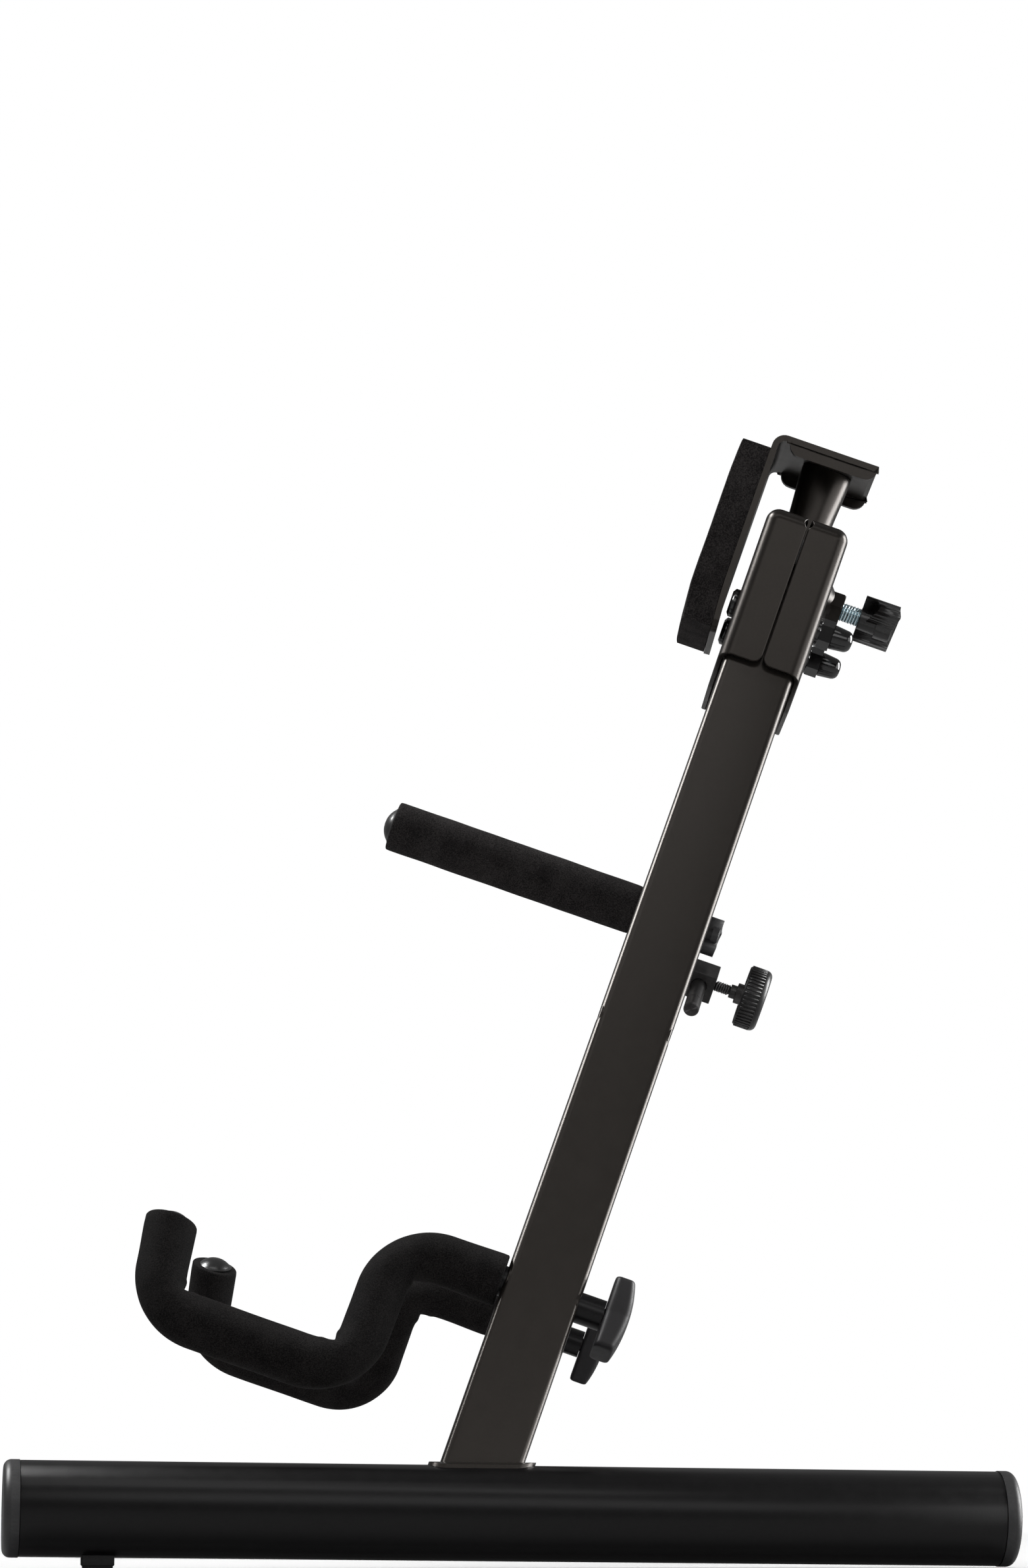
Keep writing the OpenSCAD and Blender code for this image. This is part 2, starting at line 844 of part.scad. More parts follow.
module far_arm_rod() {
    arm_rod(1);
}

module far_arm_foam() {
    arm_foam(1);
}

module far_arm_cap() {
    arm_cap(1);
}

module far_arm_screw() {
    arm_screw(1);
}

module far_arm_knob() {
    arm_knob(1);
}

box_front();
box_back();
near_pivot_bolt();
far_pivot_bolt();
near_acorn_nut();
far_acorn_nut();
clamp_nut();
guide_tube();
upper_bush();
lower_bush();
near_leg_tube();
near_pivot_sleeve();
near_leg_weld();
near_foot_tube();
near_front_cap();
near_rear_cap();
near_front_pad();
far_leg_tube();
far_pivot_sleeve();
far_leg_weld();
far_foot_tube();
far_front_cap();
far_rear_cap();
far_front_pad();
mast();
mast_plug();
head_bracket();
neck_pad();
clamp_screw();
clamp_knob();
peg_collar();
peg_tube();
peg_foam();
peg_cap();
rod_block();
peg_screw();
peg_knob();
stop_rod();
dial_screw();
dial_knob();
near_arm_rod();
near_arm_foam();
near_arm_cap();
near_arm_screw();
near_arm_knob();
far_arm_rod();
far_arm_foam();
far_arm_cap();
far_arm_screw();
far_arm_knob();
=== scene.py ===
import math

import bmesh
import bpy
from mathutils import Matrix, Vector, noise


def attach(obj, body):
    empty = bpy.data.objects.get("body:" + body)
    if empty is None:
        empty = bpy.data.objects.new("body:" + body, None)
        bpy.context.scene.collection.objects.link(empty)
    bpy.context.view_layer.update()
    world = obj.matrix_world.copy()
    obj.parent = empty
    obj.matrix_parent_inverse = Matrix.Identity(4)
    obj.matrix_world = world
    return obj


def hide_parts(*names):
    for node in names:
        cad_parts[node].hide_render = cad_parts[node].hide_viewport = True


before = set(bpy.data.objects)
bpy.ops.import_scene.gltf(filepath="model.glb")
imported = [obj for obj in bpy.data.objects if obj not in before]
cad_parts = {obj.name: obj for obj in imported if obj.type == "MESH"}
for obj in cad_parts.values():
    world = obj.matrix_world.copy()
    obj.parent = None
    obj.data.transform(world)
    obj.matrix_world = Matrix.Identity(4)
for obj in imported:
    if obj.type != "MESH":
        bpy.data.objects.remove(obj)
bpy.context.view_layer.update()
print("frame loaded")

# Sizes of the stand, in millimetres and degrees, as in the CAD
stand = {
    "lean": 19.3,  # the mast and the legs, backwards
    "splay": 21.0,  # each leg, from the middle
    "fall": 0.6,  # slope of the feet
    "legLength": 419.0,
    "pivotY": 30.0,  # each pivot, from the middle
    "footLength": 380.0,
    "capRadius": 18.0,  # end caps of the feet
    "capRound": 3.0,
    "jointX": -18.7,  # where a leg stands on its foot
    "armZ": -325.0,  # lower arm hole, from the pivot along the leg
    "clampZ": 18.0,  # clamp screw, from the pivots along the mast
    "pegZ": -131.0,
    "rodZ": -150.0,
}
sides = ((-1, "near"), (1, "far"))
unmoved = Matrix.Identity(4)


def shift(x, y, z):
    return Matrix.Translation((x, y, z))


def turn(degrees, axis):
    return Matrix.Rotation(math.radians(degrees), 4, axis)


# Frame of the mast in metres: pivots at its origin, its axis along z, the front towards -x
def mastFrame():
    s = stand
    lean, splay, fall = (math.radians(s[key]) for key in ("lean", "splay", "fall"))
    footZ = (s["footLength"] / 2 - s["capRound"]) * math.sin(fall) + s["capRadius"] * math.cos(fall)
    legRun = s["legLength"] * math.cos(splay)
    pivotX = s["jointX"] + legRun * math.sin(lean)
    pivotZ = footZ - s["jointX"] * math.sin(fall) + legRun * math.cos(lean)
    return Matrix.Scale(0.001, 4) @ shift(pivotX, 0, pivotZ) @ turn(s["lean"], "Y")


standFrame = mastFrame()
clampFrame, pegFrame, rodFrame = (standFrame @ shift(0, 0, stand[key]) for key in ("clampZ", "pegZ", "rodZ"))


# Frame of an arm in its leg, with the leg's axis along z
def armFrame(side):
    leg = standFrame @ shift(0, side * stand["pivotY"], 0) @ turn(side * stand["splay"], "X")
    return leg @ shift(0, 0, stand["armZ"])


# Node helpers

# A new node with the values of its inputs, and with the group that it places
def newNode(tree, kind, values=None, group=None):
    n = tree.nodes.new(kind)
    if group:
        n.node_tree = group
    for socket, value in (values or {}).items():
        n.inputs[socket].default_value = value
    return n


def link(tree, a, b):
    tree.links.new(a, b)


# Links the first output of each node to the first input of the next
def chain(tree, *nodes):
    for a, b in zip(nodes, nodes[1:]):
        link(tree, a.outputs[0], b.inputs[0])


# A node group with named inputs and outputs, each given with its kind of socket
def newGroup(name, kind, inputs, outputs):
    g = bpy.data.node_groups.new(name, kind)
    for way, sockets in (("INPUT", inputs), ("OUTPUT", outputs)):
        for label, socket in sockets.items():
            g.interface.new_socket(label, in_out=way, socket_type="NodeSocket" + socket)
    return g, newNode(g, "NodeGroupInput"), newNode(g, "NodeGroupOutput")


# Materials

def newMaterial(name):
    m = bpy.data.materials.new(name)
    m.use_nodes = True
    tree = m.node_tree
    return m, tree, tree.nodes["Principled BSDF"]


# A colour ramp with two stops, each (place, colour)
def newRamp(tree, low, high):
    ramp = newNode(tree, "ShaderNodeValToRGB")
    for stop, (place, colour) in zip(ramp.color_ramp.elements, (low, high)):
        stop.position = place
        stop.color = (*colour, 1)
    return ramp


# Bump on the shader, its depth in metres
def relief(tree, height, depth, shader):
    bump = newNode(tree, "ShaderNodeBump", {"Strength": 1.0, "Distance": depth})
    link(tree, height, bump.inputs["Height"])
    link(tree, bump.outputs["Normal"], shader.inputs["Normal"])


# Two values from 0 to 1: fine grain and coarse clouds, and both mixed
def grainGroup():
    g, start, end = newGroup("surfaceGrain", "ShaderNodeTree", {"fine": "Float", "coarse": "Float"},
                             {"value": "Float", "clouds": "Float", "blend": "Float"})
    place = newNode(g, "ShaderNodeTexCoord")
    mix = newNode(g, "ShaderNodeMix", {"Factor": 0.6})
    for detail, scale, result, side in ((3, "fine", "value", "B"), (2, "coarse", "clouds", "A")):
        tex = newNode(g, "ShaderNodeTexNoise", {"Detail": detail})
        link(g, place.outputs["Object"], tex.inputs["Vector"])
        link(g, start.outputs[scale], tex.inputs["Scale"])
        link(g, tex.outputs["Fac"], end.inputs[result])
        link(g, tex.outputs["Fac"], mix.inputs[side])
    link(g, mix.outputs["Result"], end.inputs["blend"])
    return g


# Lays a paler colour over the sharp edges
def wearGroup():
    g, start, end = newGroup("edgeWear", "ShaderNodeTree", {"colour": "Color", "worn": "Color", "amount": "Float"},
                             {"colour": "Color"})
    edge = newNode(g, "ShaderNodeNewGeometry")
    reach = newNode(g, "ShaderNodeMapRange", {"From Min": 0.53, "From Max": 0.62})
    over = newNode(g, "ShaderNodeMix")
    over.data_type = "RGBA"
    link(g, edge.outputs["Pointiness"], reach.inputs["Value"])
    link(g, start.outputs["amount"], reach.inputs["To Max"])
    link(g, reach.outputs["Result"], over.inputs["Factor"])
    link(g, start.outputs["colour"], over.inputs["A"])
    link(g, start.outputs["worn"], over.inputs["B"])
    link(g, over.outputs["Result"], end.inputs["colour"])
    return g


# Light flecks on clouds, and the height of open pores
def foamGroup():
    g, start, end = newGroup("foamCells", "ShaderNodeTree", {"pores": "Float", "flecks": "Float", "clouds": "Float"},
                             {"tone": "Float", "height": "Float"})
    place = newNode(g, "ShaderNodeTexCoord")
    pores = newNode(g, "ShaderNodeTexVoronoi")
    flecks = newNode(g, "ShaderNodeTexNoise", {"Detail": 4})
    clouds = newNode(g, "ShaderNodeTexNoise")
    for tex, scale in ((pores, "pores"), (flecks, "flecks"), (clouds, "clouds")):
        link(g, place.outputs["Object"], tex.inputs["Vector"])
        link(g, start.outputs[scale], tex.inputs["Scale"])
    for a, b, share, result in ((flecks.outputs["Fac"], clouds.outputs["Fac"], 0.25, "tone"),
                                (pores.outputs["Distance"], flecks.outputs["Fac"], 0.5, "height")):
        mix = newNode(g, "ShaderNodeMix", {"Factor": share})
        link(g, a, mix.inputs["A"])
        link(g, b, mix.inputs["B"])
        link(g, mix.outputs["Result"], end.inputs[result])
    return g


grain, edgeWear, foamCells = grainGroup(), wearGroup(), foamGroup()


# Grain of each kind of surface: scale of the fine grain, scale of the clouds, depth in metres
coatGrain = (1100, 160, 0.000015)
mouldGrain = (1800, 300, 0.00002)
metalGrain = (900, 150, 0.00002)


# A hard surface: spread is the range of its roughness, and wear the share of the paler colour on its edges
def finish(name, dark, light, rough, texture, metallic=0.0, coat=0.0, specular=0.5, spread=0.08, wear=0.0,
           tint=(1.0, 1.0, 1.0)):
    fine, coarse, depth = texture
    m, tree, shader = newMaterial(name)
    g = newNode(tree, "ShaderNodeGroup", {"fine": fine, "coarse": coarse}, grain)
    ramp = newRamp(tree, (0.3, dark), (0.7, light))
    link(tree, g.outputs["blend"], ramp.inputs["Fac"])
    colour = ramp.outputs["Color"]
    if wear:
        pale = (*(min(1, c * 3 + 0.02) for c in light), 1)
        worn = newNode(tree, "ShaderNodeGroup", {"worn": pale, "amount": wear}, edgeWear)
        link(tree, colour, worn.inputs["colour"])
        colour = worn.outputs["colour"]
    link(tree, colour, shader.inputs["Base Color"])
    gloss = newNode(tree, "ShaderNodeMapRange", {"To Min": rough - spread, "To Max": rough + spread})
    link(tree, g.outputs["clouds"], gloss.inputs["Value"])
    link(tree, gloss.outputs["Result"], shader.inputs["Roughness"])
    relief(tree, g.outputs["value"], depth, shader)
    for socket, value in (("Metallic", metallic), ("Coat Weight", coat), ("Coat Roughness", rough * 0.6),
                          ("Specular IOR Level", specular), ("Specular Tint", (*tint, 1))):
        shader.inputs[socket].default_value = value
    return m


powder = finish("powderCoat", (0.0072, 0.0060, 0.0052), (0.0118, 0.0099, 0.0084), 0.31, coatGrain, coat=0.04,
                specular=0.33, spread=0.04, wear=0.25, tint=(1.0, 0.90, 0.82))
# The same black coat made darker for the feet and the arm rods: painted shade
shadedPowderCoat = finish("shadedPowderCoat", (0.0020, 0.0016, 0.0021), (0.0036, 0.0031, 0.0037), 0.31, coatGrain, coat=0.03,
                  specular=0.24, spread=0.04, wear=0.15)
plastic = finish("knobPlastic", (0.0095, 0.0088, 0.0088), (0.0150, 0.0140, 0.0140), 0.30, mouldGrain, coat=0.4,
                 wear=0.2)
dialPlastic = finish("dialPlastic", (0.0095, 0.0088, 0.0092), (0.0145, 0.0135, 0.014), 0.40, mouldGrain, coat=0.1,
                     wear=0.35)
tailPlastic = finish("tailPlastic", (0.0080, 0.0068, 0.0083), (0.0125, 0.0108, 0.0130), 0.52, mouldGrain,
                     specular=0.4, wear=0.2)
capPlastic = finish("capPlastic", (0.024, 0.0235, 0.025), (0.036, 0.0355, 0.037), 0.46, (1500, 200, 0.00003),
                    wear=0.3)
rubber = finish("rubber", (0.008, 0.008, 0.008), (0.014, 0.014, 0.014), 0.7, (2200, 400, 0.00006))
blackChrome = finish("blackChrome", (0.0055, 0.0050, 0.0054), (0.0085, 0.0080, 0.0085), 0.12,
                     (700, 120, 0.000002), specular=0.7, spread=0.03)
steel = finish("blackenedSteel", (0.045, 0.043, 0.043), (0.075, 0.072, 0.072), 0.34, metalGrain, metallic=0.6,
               wear=0.4)
zinc = finish("zinc", (0.46, 0.60, 0.66), (0.74, 0.88, 0.93), 0.22, (900, 150, 0.00001), metallic=1.0)

# Closed cell foam: its two colours and where they meet in the grain, the scales of that, and the pores' depth
foamLook = {"dark": (0.011, 0.0098, 0.0100), "light": (0.048, 0.0435, 0.0430), "from": 0.40, "to": 0.62,
            "pores": 2300, "flecks": 2100, "clouds": 110, "depth": 0.00022, "rough": 0.86, "specular": 0.08}


# One foam in copies whose colours are scaled by a brightness factor: above 1 it paints light on, below 1 it paints
# shade on
def foamMaterial(name, paintedBrightness):
    look = foamLook
    m, tree, shader = newMaterial(name)
    scales = {key: look[key] for key in ("pores", "flecks", "clouds")}
    cells = newNode(tree, "ShaderNodeGroup", scales, foamCells)
    dark, light = ([c * paintedBrightness for c in look[key]] for key in ("dark", "light"))
    ramp = newRamp(tree, (look["from"], dark), (look["to"], light))
    link(tree, cells.outputs["tone"], ramp.inputs["Fac"])
    link(tree, ramp.outputs["Color"], shader.inputs["Base Color"])
    relief(tree, cells.outputs["height"], look["depth"], shader)
    shader.inputs["Roughness"].default_value = look["rough"]
    shader.inputs["Specular IOR Level"].default_value = look["specular"]
    return m


# Lit and shaded copies of the same foam: the peg's and the pad's made paler with painted light, the arms' made darker
# with painted shade
foam = foamMaterial("foam", 1.2)
armFoamShaded = foamMaterial("armFoamShaded", 0.58)
padFoamLit = foamMaterial("padFoamLit", 1.6)
print("materials ready")


# Mesh helpers: points come in millimetres, in the frame of the matrix that is handed over

def objectFrom(name, verts, faces, matrix, material, smooth=True):
    me = bpy.data.meshes.new(name)
    me.from_pydata([tuple(matrix @ Vector(v)) for v in verts], [], faces)
    me.validate()
    bm = bmesh.new()
    bm.from_mesh(me)
    bmesh.ops.recalc_face_normals(bm, faces=bm.faces)
    bm.to_mesh(me)
    bm.free()
    if smooth:
        me.shade_smooth()
    me.materials.append(material)
    o = bpy.data.objects.new(name, me)
    bpy.context.collection.objects.link(o)
    return o


# Applies every modifier, so that the piece is a plain mesh
def settle(o):
    bpy.context.view_layer.update()
    graph = bpy.context.evaluated_depsgraph_get()
    me = bpy.data.meshes.new_from_object(o.evaluated_get(graph))
    o.modifiers.clear()
    o.data = me
    return o


# One object from several, keeping their materials
def joined(name, parts):
    for o in bpy.context.selected_objects:
        o.select_set(False)
    for o in parts:
        o.select_set(True)
    bpy.context.view_layer.objects.active = parts[0]
    bpy.ops.object.join()
    parts[0].name = name
    parts[0].data.name = name
    parts[0].select_set(False)
    return parts[0]


# Cuts a piece with another one, and removes that
def carve(o, cutter):
    cut = o.modifiers.new("cut", "BOOLEAN")
    cut.object = cutter
    cut.solver = "EXACT"
    settle(o)
    bpy.data.objects.remove(cutter)


# Bevels every edge that is sharper than the angle
def rounded(o, width, segments=2, angle=35):
    b = o.modifiers.new("edges", "BEVEL")
    b.width = width / 1000
    b.segments = segments
    b.limit_method = "ANGLE"
    b.angle_limit = math.radians(angle)
    b.use_clamp_overlap = True
    b.harden_normals = True
    return o


# Faces of a closed skin over rings of points, with a flat cap at both ends
def ringFaces(rings, around):
    faces = []
    for i in range(rings - 1):
        for j in range(around):
            k = (j + 1) % around
            faces.append((i * around + j, i * around + k, (i + 1) * around + k, (i + 1) * around + j))
    faces.append(tuple(reversed(range(around))))
    faces.append(tuple(range((rings - 1) * around, rings * around)))
    return faces


# Faces of a prism between two outlines of n points
def prismFaces(n):
    ends = [tuple(range(n)), tuple(reversed(range(n, 2 * n)))]
    return ends + [(i, n + i, n + (i + 1) % n, (i + 1) % n) for i in range(n)]


# A solid turned about x from (x, radius) points
def turned(name, profile, matrix, material, around=48):
    verts = []
    for x, r in profile:
        for j in range(around):
            a = 2 * math.pi * j / around
            verts.append((x, r * math.cos(a), r * math.sin(a)))
    o = objectFrom(name, verts, ringFaces(len(profile), around), matrix, material)
    o.data.set_sharp_from_angle(angle=math.radians(40))
    return o


# An outline in (y, z) pushed along x, with its edges rounded
def softPrism(name, outline, x0, x1, matrix, material, edge=0.5, segments=3, angle=40):
    verts = [(x, y, z) for x in (x0, x1) for y, z in outline]
    o = objectFrom(name, verts, prismFaces(len(outline)), matrix, material)
    rounded(o, edge, segments, angle)
    return settle(o)


# A quarter circle in (along, in) steps from 0 to its radius
def quarter(radius, steps=6):
    angles = [math.radians(90 * i / steps) for i in range(steps + 1)]
    return [(radius * math.sin(a), radius - radius * math.cos(a)) for a in angles]


# Geometry node helpers

# A geometry tree with named inputs for its sizes
def geometryTree(name, sizes):
    return newGroup(name, "GeometryNodeTree", {"Geometry": "Geometry", **sizes}, {"Geometry": "Geometry"})


# Puts a tree on an object, with its inputs set by their identifiers
def useTree(o, tree, values):
    m = o.modifiers.new(tree.name, "NODES")
    m.node_group = tree
    for item in tree.interface.items_tree:
        if item.name in values:
            m[item.identifier] = values[item.name]


# Joins new geometry with the piece that the tree is on, makes its copies real and paints all of it
def closeTree(tree, start, end, added):
    join = newNode(tree, "GeometryNodeJoinGeometry")
    paint = newNode(tree, "GeometryNodeSetMaterial")
    chain(tree, added, join)
    link(tree, start.outputs["Geometry"], join.inputs["Geometry"])
    chain(tree, join, newNode(tree, "GeometryNodeRealizeInstances"), paint, end)
    link(tree, start.outputs["material"], paint.inputs["Material"])
    return tree


# Shades smooth, but keeps every edge sharper than the angle
def smoothTree():
    tree, start, end = geometryTree("smoothByAngle", {"angle": "Float"})
    faces = newNode(tree, "GeometryNodeSetShadeSmooth")
    edges = newNode(tree, "GeometryNodeSetShadeSmooth", {"Shade Smooth": False})
    edges.domain = "EDGE"
    bend = newNode(tree, "GeometryNodeInputMeshEdgeAngle")
    over = newNode(tree, "FunctionNodeCompare")
    over.operation = "GREATER_THAN"
    link(tree, bend.outputs["Unsigned Angle"], over.inputs["A"])
    link(tree, start.outputs["angle"], over.inputs["B"])
    link(tree, over.outputs["Result"], edges.inputs["Selection"])
    chain(tree, start, faces, edges, end)
    return tree


# The ridge of a thread along x: a small square profile swept along a helix
def threadTree():
    tree, start, end = geometryTree("threadRidge", {"begin": "Float", "turns": "Float", "length": "Float",
                                                    "core": "Float", "depth": "Float", "material": "Material"})
    helix = newNode(tree, "GeometryNodeCurveSpiral", {"Resolution": 32})
    ridge = newNode(tree, "GeometryNodeCurvePrimitiveCircle", {"Resolution": 4})
    sweep = newNode(tree, "GeometryNodeCurveToMesh", {"Fill Caps": True})
    offset = newNode(tree, "ShaderNodeCombineXYZ")
    place = newNode(tree, "GeometryNodeTransform", {"Rotation": (0, math.radians(90), 0)})
    for size, socket in (("turns", helix.inputs["Rotations"]), ("core", helix.inputs["Start Radius"]),
                         ("core", helix.inputs["End Radius"]), ("length", helix.inputs["Height"]),
                         ("depth", ridge.inputs["Radius"]), ("begin", offset.inputs["X"])):
        link(tree, start.outputs[size], socket)
    link(tree, offset.outputs["Vector"], place.inputs["Translation"])
    link(tree, ridge.outputs["Curve"], sweep.inputs["Profile Curve"])
    chain(tree, helix, sweep, place)
    return closeTree(tree, start, end, place)


# Copies of a rib set round the x axis, each turned outward
def ribTree():
    tree, start, end = geometryTree("ribsAround", {"rib": "Object", "count": "Int", "radius": "Float",
                                                   "material": "Material"})
    circle = newNode(tree, "GeometryNodeMeshCircle")
    upright = newNode(tree, "GeometryNodeTransform", {"Rotation": (0, math.radians(90), 0)})
    info = newNode(tree, "GeometryNodeObjectInfo")
    where = newNode(tree, "GeometryNodeInputPosition")
    aim = newNode(tree, "FunctionNodeAlignRotationToVector")
    aim.axis = "Z"
    aim.pivot_axis = "X"
    copies = newNode(tree, "GeometryNodeInstanceOnPoints")
    link(tree, start.outputs["count"], circle.inputs["Vertices"])
    link(tree, start.outputs["radius"], circle.inputs["Radius"])
    link(tree, start.outputs["rib"], info.inputs["Object"])
    link(tree, info.outputs["Geometry"], copies.inputs["Instance"])
    link(tree, where.outputs["Position"], aim.inputs["Vector"])
    link(tree, aim.outputs["Rotation"], copies.inputs["Rotation"])
    chain(tree, circle, upright, copies)
    return closeTree(tree, start, end, copies)


smoothing, threadRidge, ribsAround = smoothTree(), threadTree(), ribTree()
smoothAngle = math.radians(32)


# A CAD piece keeps its mesh: modifiers weld its loose triangles, and round its edges or smooth its curves
def softenCad(node, material, width=0.0, segments=2):
    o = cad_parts[node]
    o.data.materials.clear()
    o.data.materials.append(material)
    o.modifiers.new("weld", "WELD").merge_threshold = 0.00001
    if width:
        rounded(o, width, segments)
    else:
        useTree(o, smoothing, {"angle": smoothAngle})


# Foam sleeves

# Lip holds (distance from the end, depth below the surface), with None for the hole; puff is the swelling
# beside each fold, puffAt and puffWide its place and width as angles along the bend
sleeveLook = {"around": 64, "lip": ((0.0, None), (0.0, 0.8), (0.2, 0.35), (0.6, 0.1)), "edge": 1.4, "core": 6.02,
              "wobble": 0.14, "wave": 0.07, "puff": 0.55, "puffAt": 0.30, "puffWide": 0.12}


# Eased value at a place along (place, value) steps
def eased(steps, at):
    for (a, u), (b, v) in zip(steps, steps[1:]):
        if at <= b:
            t = max(0.0, (at - a) / (b - a))
            return u + (v - u) * t * t * (3 - 2 * t)
    return steps[-1][1]


def pathLength(path):
    return sum((b[0] - a[0]).length for a, b in zip(path, path[1:]))


# Foam on a bent rod. path holds (point, tangent, inside of the bend); bends hold (begin, end, sharpness) along it,
# where the inner side folds towards the corner of its two straight lines; girth holds (place, extra radius); the
# far end slants by slope
def sleeve(name, path, radius, matrix, material, body, node, bends=(), bendRadius=0.0, girth=((0, 0), (1, 0)),
           slope=0.0, seed=0):
    look = sleeveLook
    around = look["around"]
    total = pathLength(path)
    cross = Vector((0, 1, 0))
    verts = []

    def fold(run):
        for begin, end, sharp in bends:
            if begin < run < end:
                off = abs((run - begin) / (end - begin) - 0.5) * math.pi / 2
                deep = (bendRadius - radius) * (1 / math.cos(math.pi / 4 - off) - 1)
                puff = look["puff"] * math.exp(-((off - look["puffAt"]) / look["puffWide"]) ** 2)
                return sharp * (deep - puff)
        return 0.0

    def ring(point, tangent, inside, r, lift, slant=0.0):
        up = cross.cross(tangent)
        for j in range(around):
            a = 2 * math.pi * j / around
            out = up * math.cos(a) + cross * math.sin(a)
            inner = max(0.0, out.dot(inside)) ** 2
            wobble = look["wobble"] * noise.noise(point * look["wave"] + out * 0.8 + Vector((seed, 0, 0)))
            verts.append(tuple(point + out * (r + wobble - lift * inner) - tangent * out.dot(inside) * r * slant))

    def close(place, steps, r, slant=0.0):
        p, t, s = path[place]
        for x, cut in steps:
            ring(p + t * x, t, s, look["core"] if cut is None else r - cut, 0, slant)

    close(0, look["lip"], radius + eased(girth, 0))
    run = 0.0
    for before, (p, t, s) in zip(path, path[1:-1]):
        run += (p - before[0]).length
        if look["edge"] <= run <= total - look["edge"] - slope * radius:
            ring(p, t, s, radius + eased(girth, run), fold(run))
    close(-1, [(-x, cut) for x, cut in reversed(look["lip"])], radius + eased(girth, total), slope)
    o = objectFrom(name, verts, ringFaces(len(verts) // around, around), matrix, material)
    o.data.set_sharp_from_angle(angle=math.radians(50))
    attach(o, body)
    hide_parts(node)


# The arm from its leg: level to fallX, down by drop, level to out, and up to tip above the low part, with one
# bend radius; the tip stands open by some degrees, so its bend stops short of a right angle
armShape = {"start": -15.9, "fallX": 58.0, "drop": 58.0, "out": 139.0, "tip": 36.0, "bend": 20.0, "open": 9.0,
            "step": 1.2, "bendSteps": 32, "radius": 9.8, "slope": 0.11, "dome": 15.2,
            "folds": (0.72, 0.9, 0.95)}


# Centre line of an arm's foam, with the inside of each bend as side, and where each bend begins and ends
def armPath():
    s = armShape
    r, bendSteps = s["bend"], s["bendSteps"]
    slant = math.radians(s["open"])
    points = []
    firsts = []

    def straight(a, b, side):
        a, b = Vector(a), Vector(b)
        n = max(1, int((b - a).length / s["step"]))
        t = (b - a).normalized()
        for i in range(n):
            points.append((a + (b - a) * i / n, t, Vector(side)))

    def bend(cx, cz, a0, a1):
        firsts.append(len(points))
        way = 1 if a1 > a0 else -1
        for i in range(bendSteps):
            a = math.radians(a0 + (a1 - a0) * i / bendSteps)
            out = Vector((math.cos(a), 0, math.sin(a)))
            points.append((Vector((cx, 0, cz)) + out * r, Vector((-math.sin(a), 0, math.cos(a))) * way, -out))

    fallX, low, out = -s["fallX"], -s["drop"], -s["out"]
    straight((s["start"], 0, 0), (fallX + r, 0, 0), (0, 0, -1))
    bend(fallX + r, -r, 90, 180)
    straight((fallX, 0, -r), (fallX, 0, low + r), (1, 0, 0))
    bend(fallX - r, low + r, 0, -90)
    straight((fallX - r, 0, low), (out + r, 0, low), (0, 0, 1))
    bend(out + r, low + r, 270, 180 + s["open"])
    rise = Vector((-math.sin(slant), 0, math.cos(slant)))
    inward = Vector((rise.z, 0, -rise.x))
    foot = Vector((out + r - r * math.cos(slant), 0, low + r - r * math.sin(slant)))
    tip = foot + rise * (s["tip"] - r + r * math.sin(slant))
    straight(foot, tip, inward)
    points.append((tip, rise, inward))
    places = [(pathLength(points[:first + 1]), pathLength(points[:first + bendSteps])) for first in firsts]
    return points, places


# End cap: lip is its straight edge, crown how far it domes, ball the dome's radius as a share of its diameter
domeShape = {"lip": 0.5, "crown": 3.6, "ball": 0.62, "rings": 14}


# Domed plastic cap facing -x
def domeCap(name, d, matrix, body, node):
    s = domeShape
    r, ball, top = d / 2, d * s["ball"], s["crown"]
    profile = [(0.0, r - 0.8), (0.0, r - 0.15), (-0.15, r)]
    for i in range(1, s["rings"] + 1):
        x = -s["lip"] - (top - s["lip"]) * i / s["rings"]
        height = math.sqrt(max(0.0, ball ** 2 - (-x - top + ball) ** 2))
        profile.append((x, max(0.02, min(r, height))))
    o = turned(name, profile, matrix, plastic)
    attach(o, body)
    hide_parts(node)


armLine, armBends = armPath()
armFolds = [(*place, sharp) for place, sharp in zip(armBends, armShape["folds"])]
armGirth = ((0, 0.45), (armBends[0][0], 0.1), (armBends[0][1], -0.35), (armBends[1][0], -0.35),
            (armBends[1][1], 0.45), (armBends[2][0], 0.5), (armBends[2][1], 0.1), (pathLength(armLine), 0.4))
for side, who in sides:
    at = armFrame(side)
    sleeve(who + "ArmSleeve", armLine, armShape["radius"], at, armFoamShaded, who + "_arm", who + "_arm_foam", armFolds,
           armShape["bend"], armGirth, armShape["slope"], seed=3 + side)
    tip = at @ Matrix.Translation(armLine[-1][0]) @ turn(90 - armShape["open"], "Y")
    domeCap(who + "ArmDome", armShape["dome"], tip, who + "_arm", who + "_arm_cap")

# The straight peg, from the collar to its cap
peg = {"start": 15.2, "end": 123.0, "radius": 10.45, "dome": 15.4}
pegLine = [(Vector((-x, 0, 0)), Vector((-1, 0, 0)), Vector((0, 0, 1)))
           for x in (*(peg["start"] + i for i in range(math.ceil(peg["end"] - peg["start"]))), peg["end"])]
sleeve("pegSleeve", pegLine, peg["radius"], pegFrame, foam, "peg_carrier", "peg_foam", seed=9)
domeCap("pegDome", peg["dome"], pegFrame @ shift(-peg["end"], 0, 0), "peg_carrier", "peg_cap")
print("foam sleeves ready")


# Thick cut foam on the bent plate, which turns back below the kink; rows, columns and layers are its lattice,
# crown the swelling of its front, and waves the (height, scale) of its unevenness
neckPad = {"front": -38.8, "back": -25.65, "top": 68.0, "kink": 5.2, "low": -12.0, "half": 28.3, "bend": 3.8,
           "rows": 60, "columns": 36, "layers": 12, "crown": 0.55, "waves": ((0.22, 0.05), (0.08, 0.22)), "edge": 0.5}


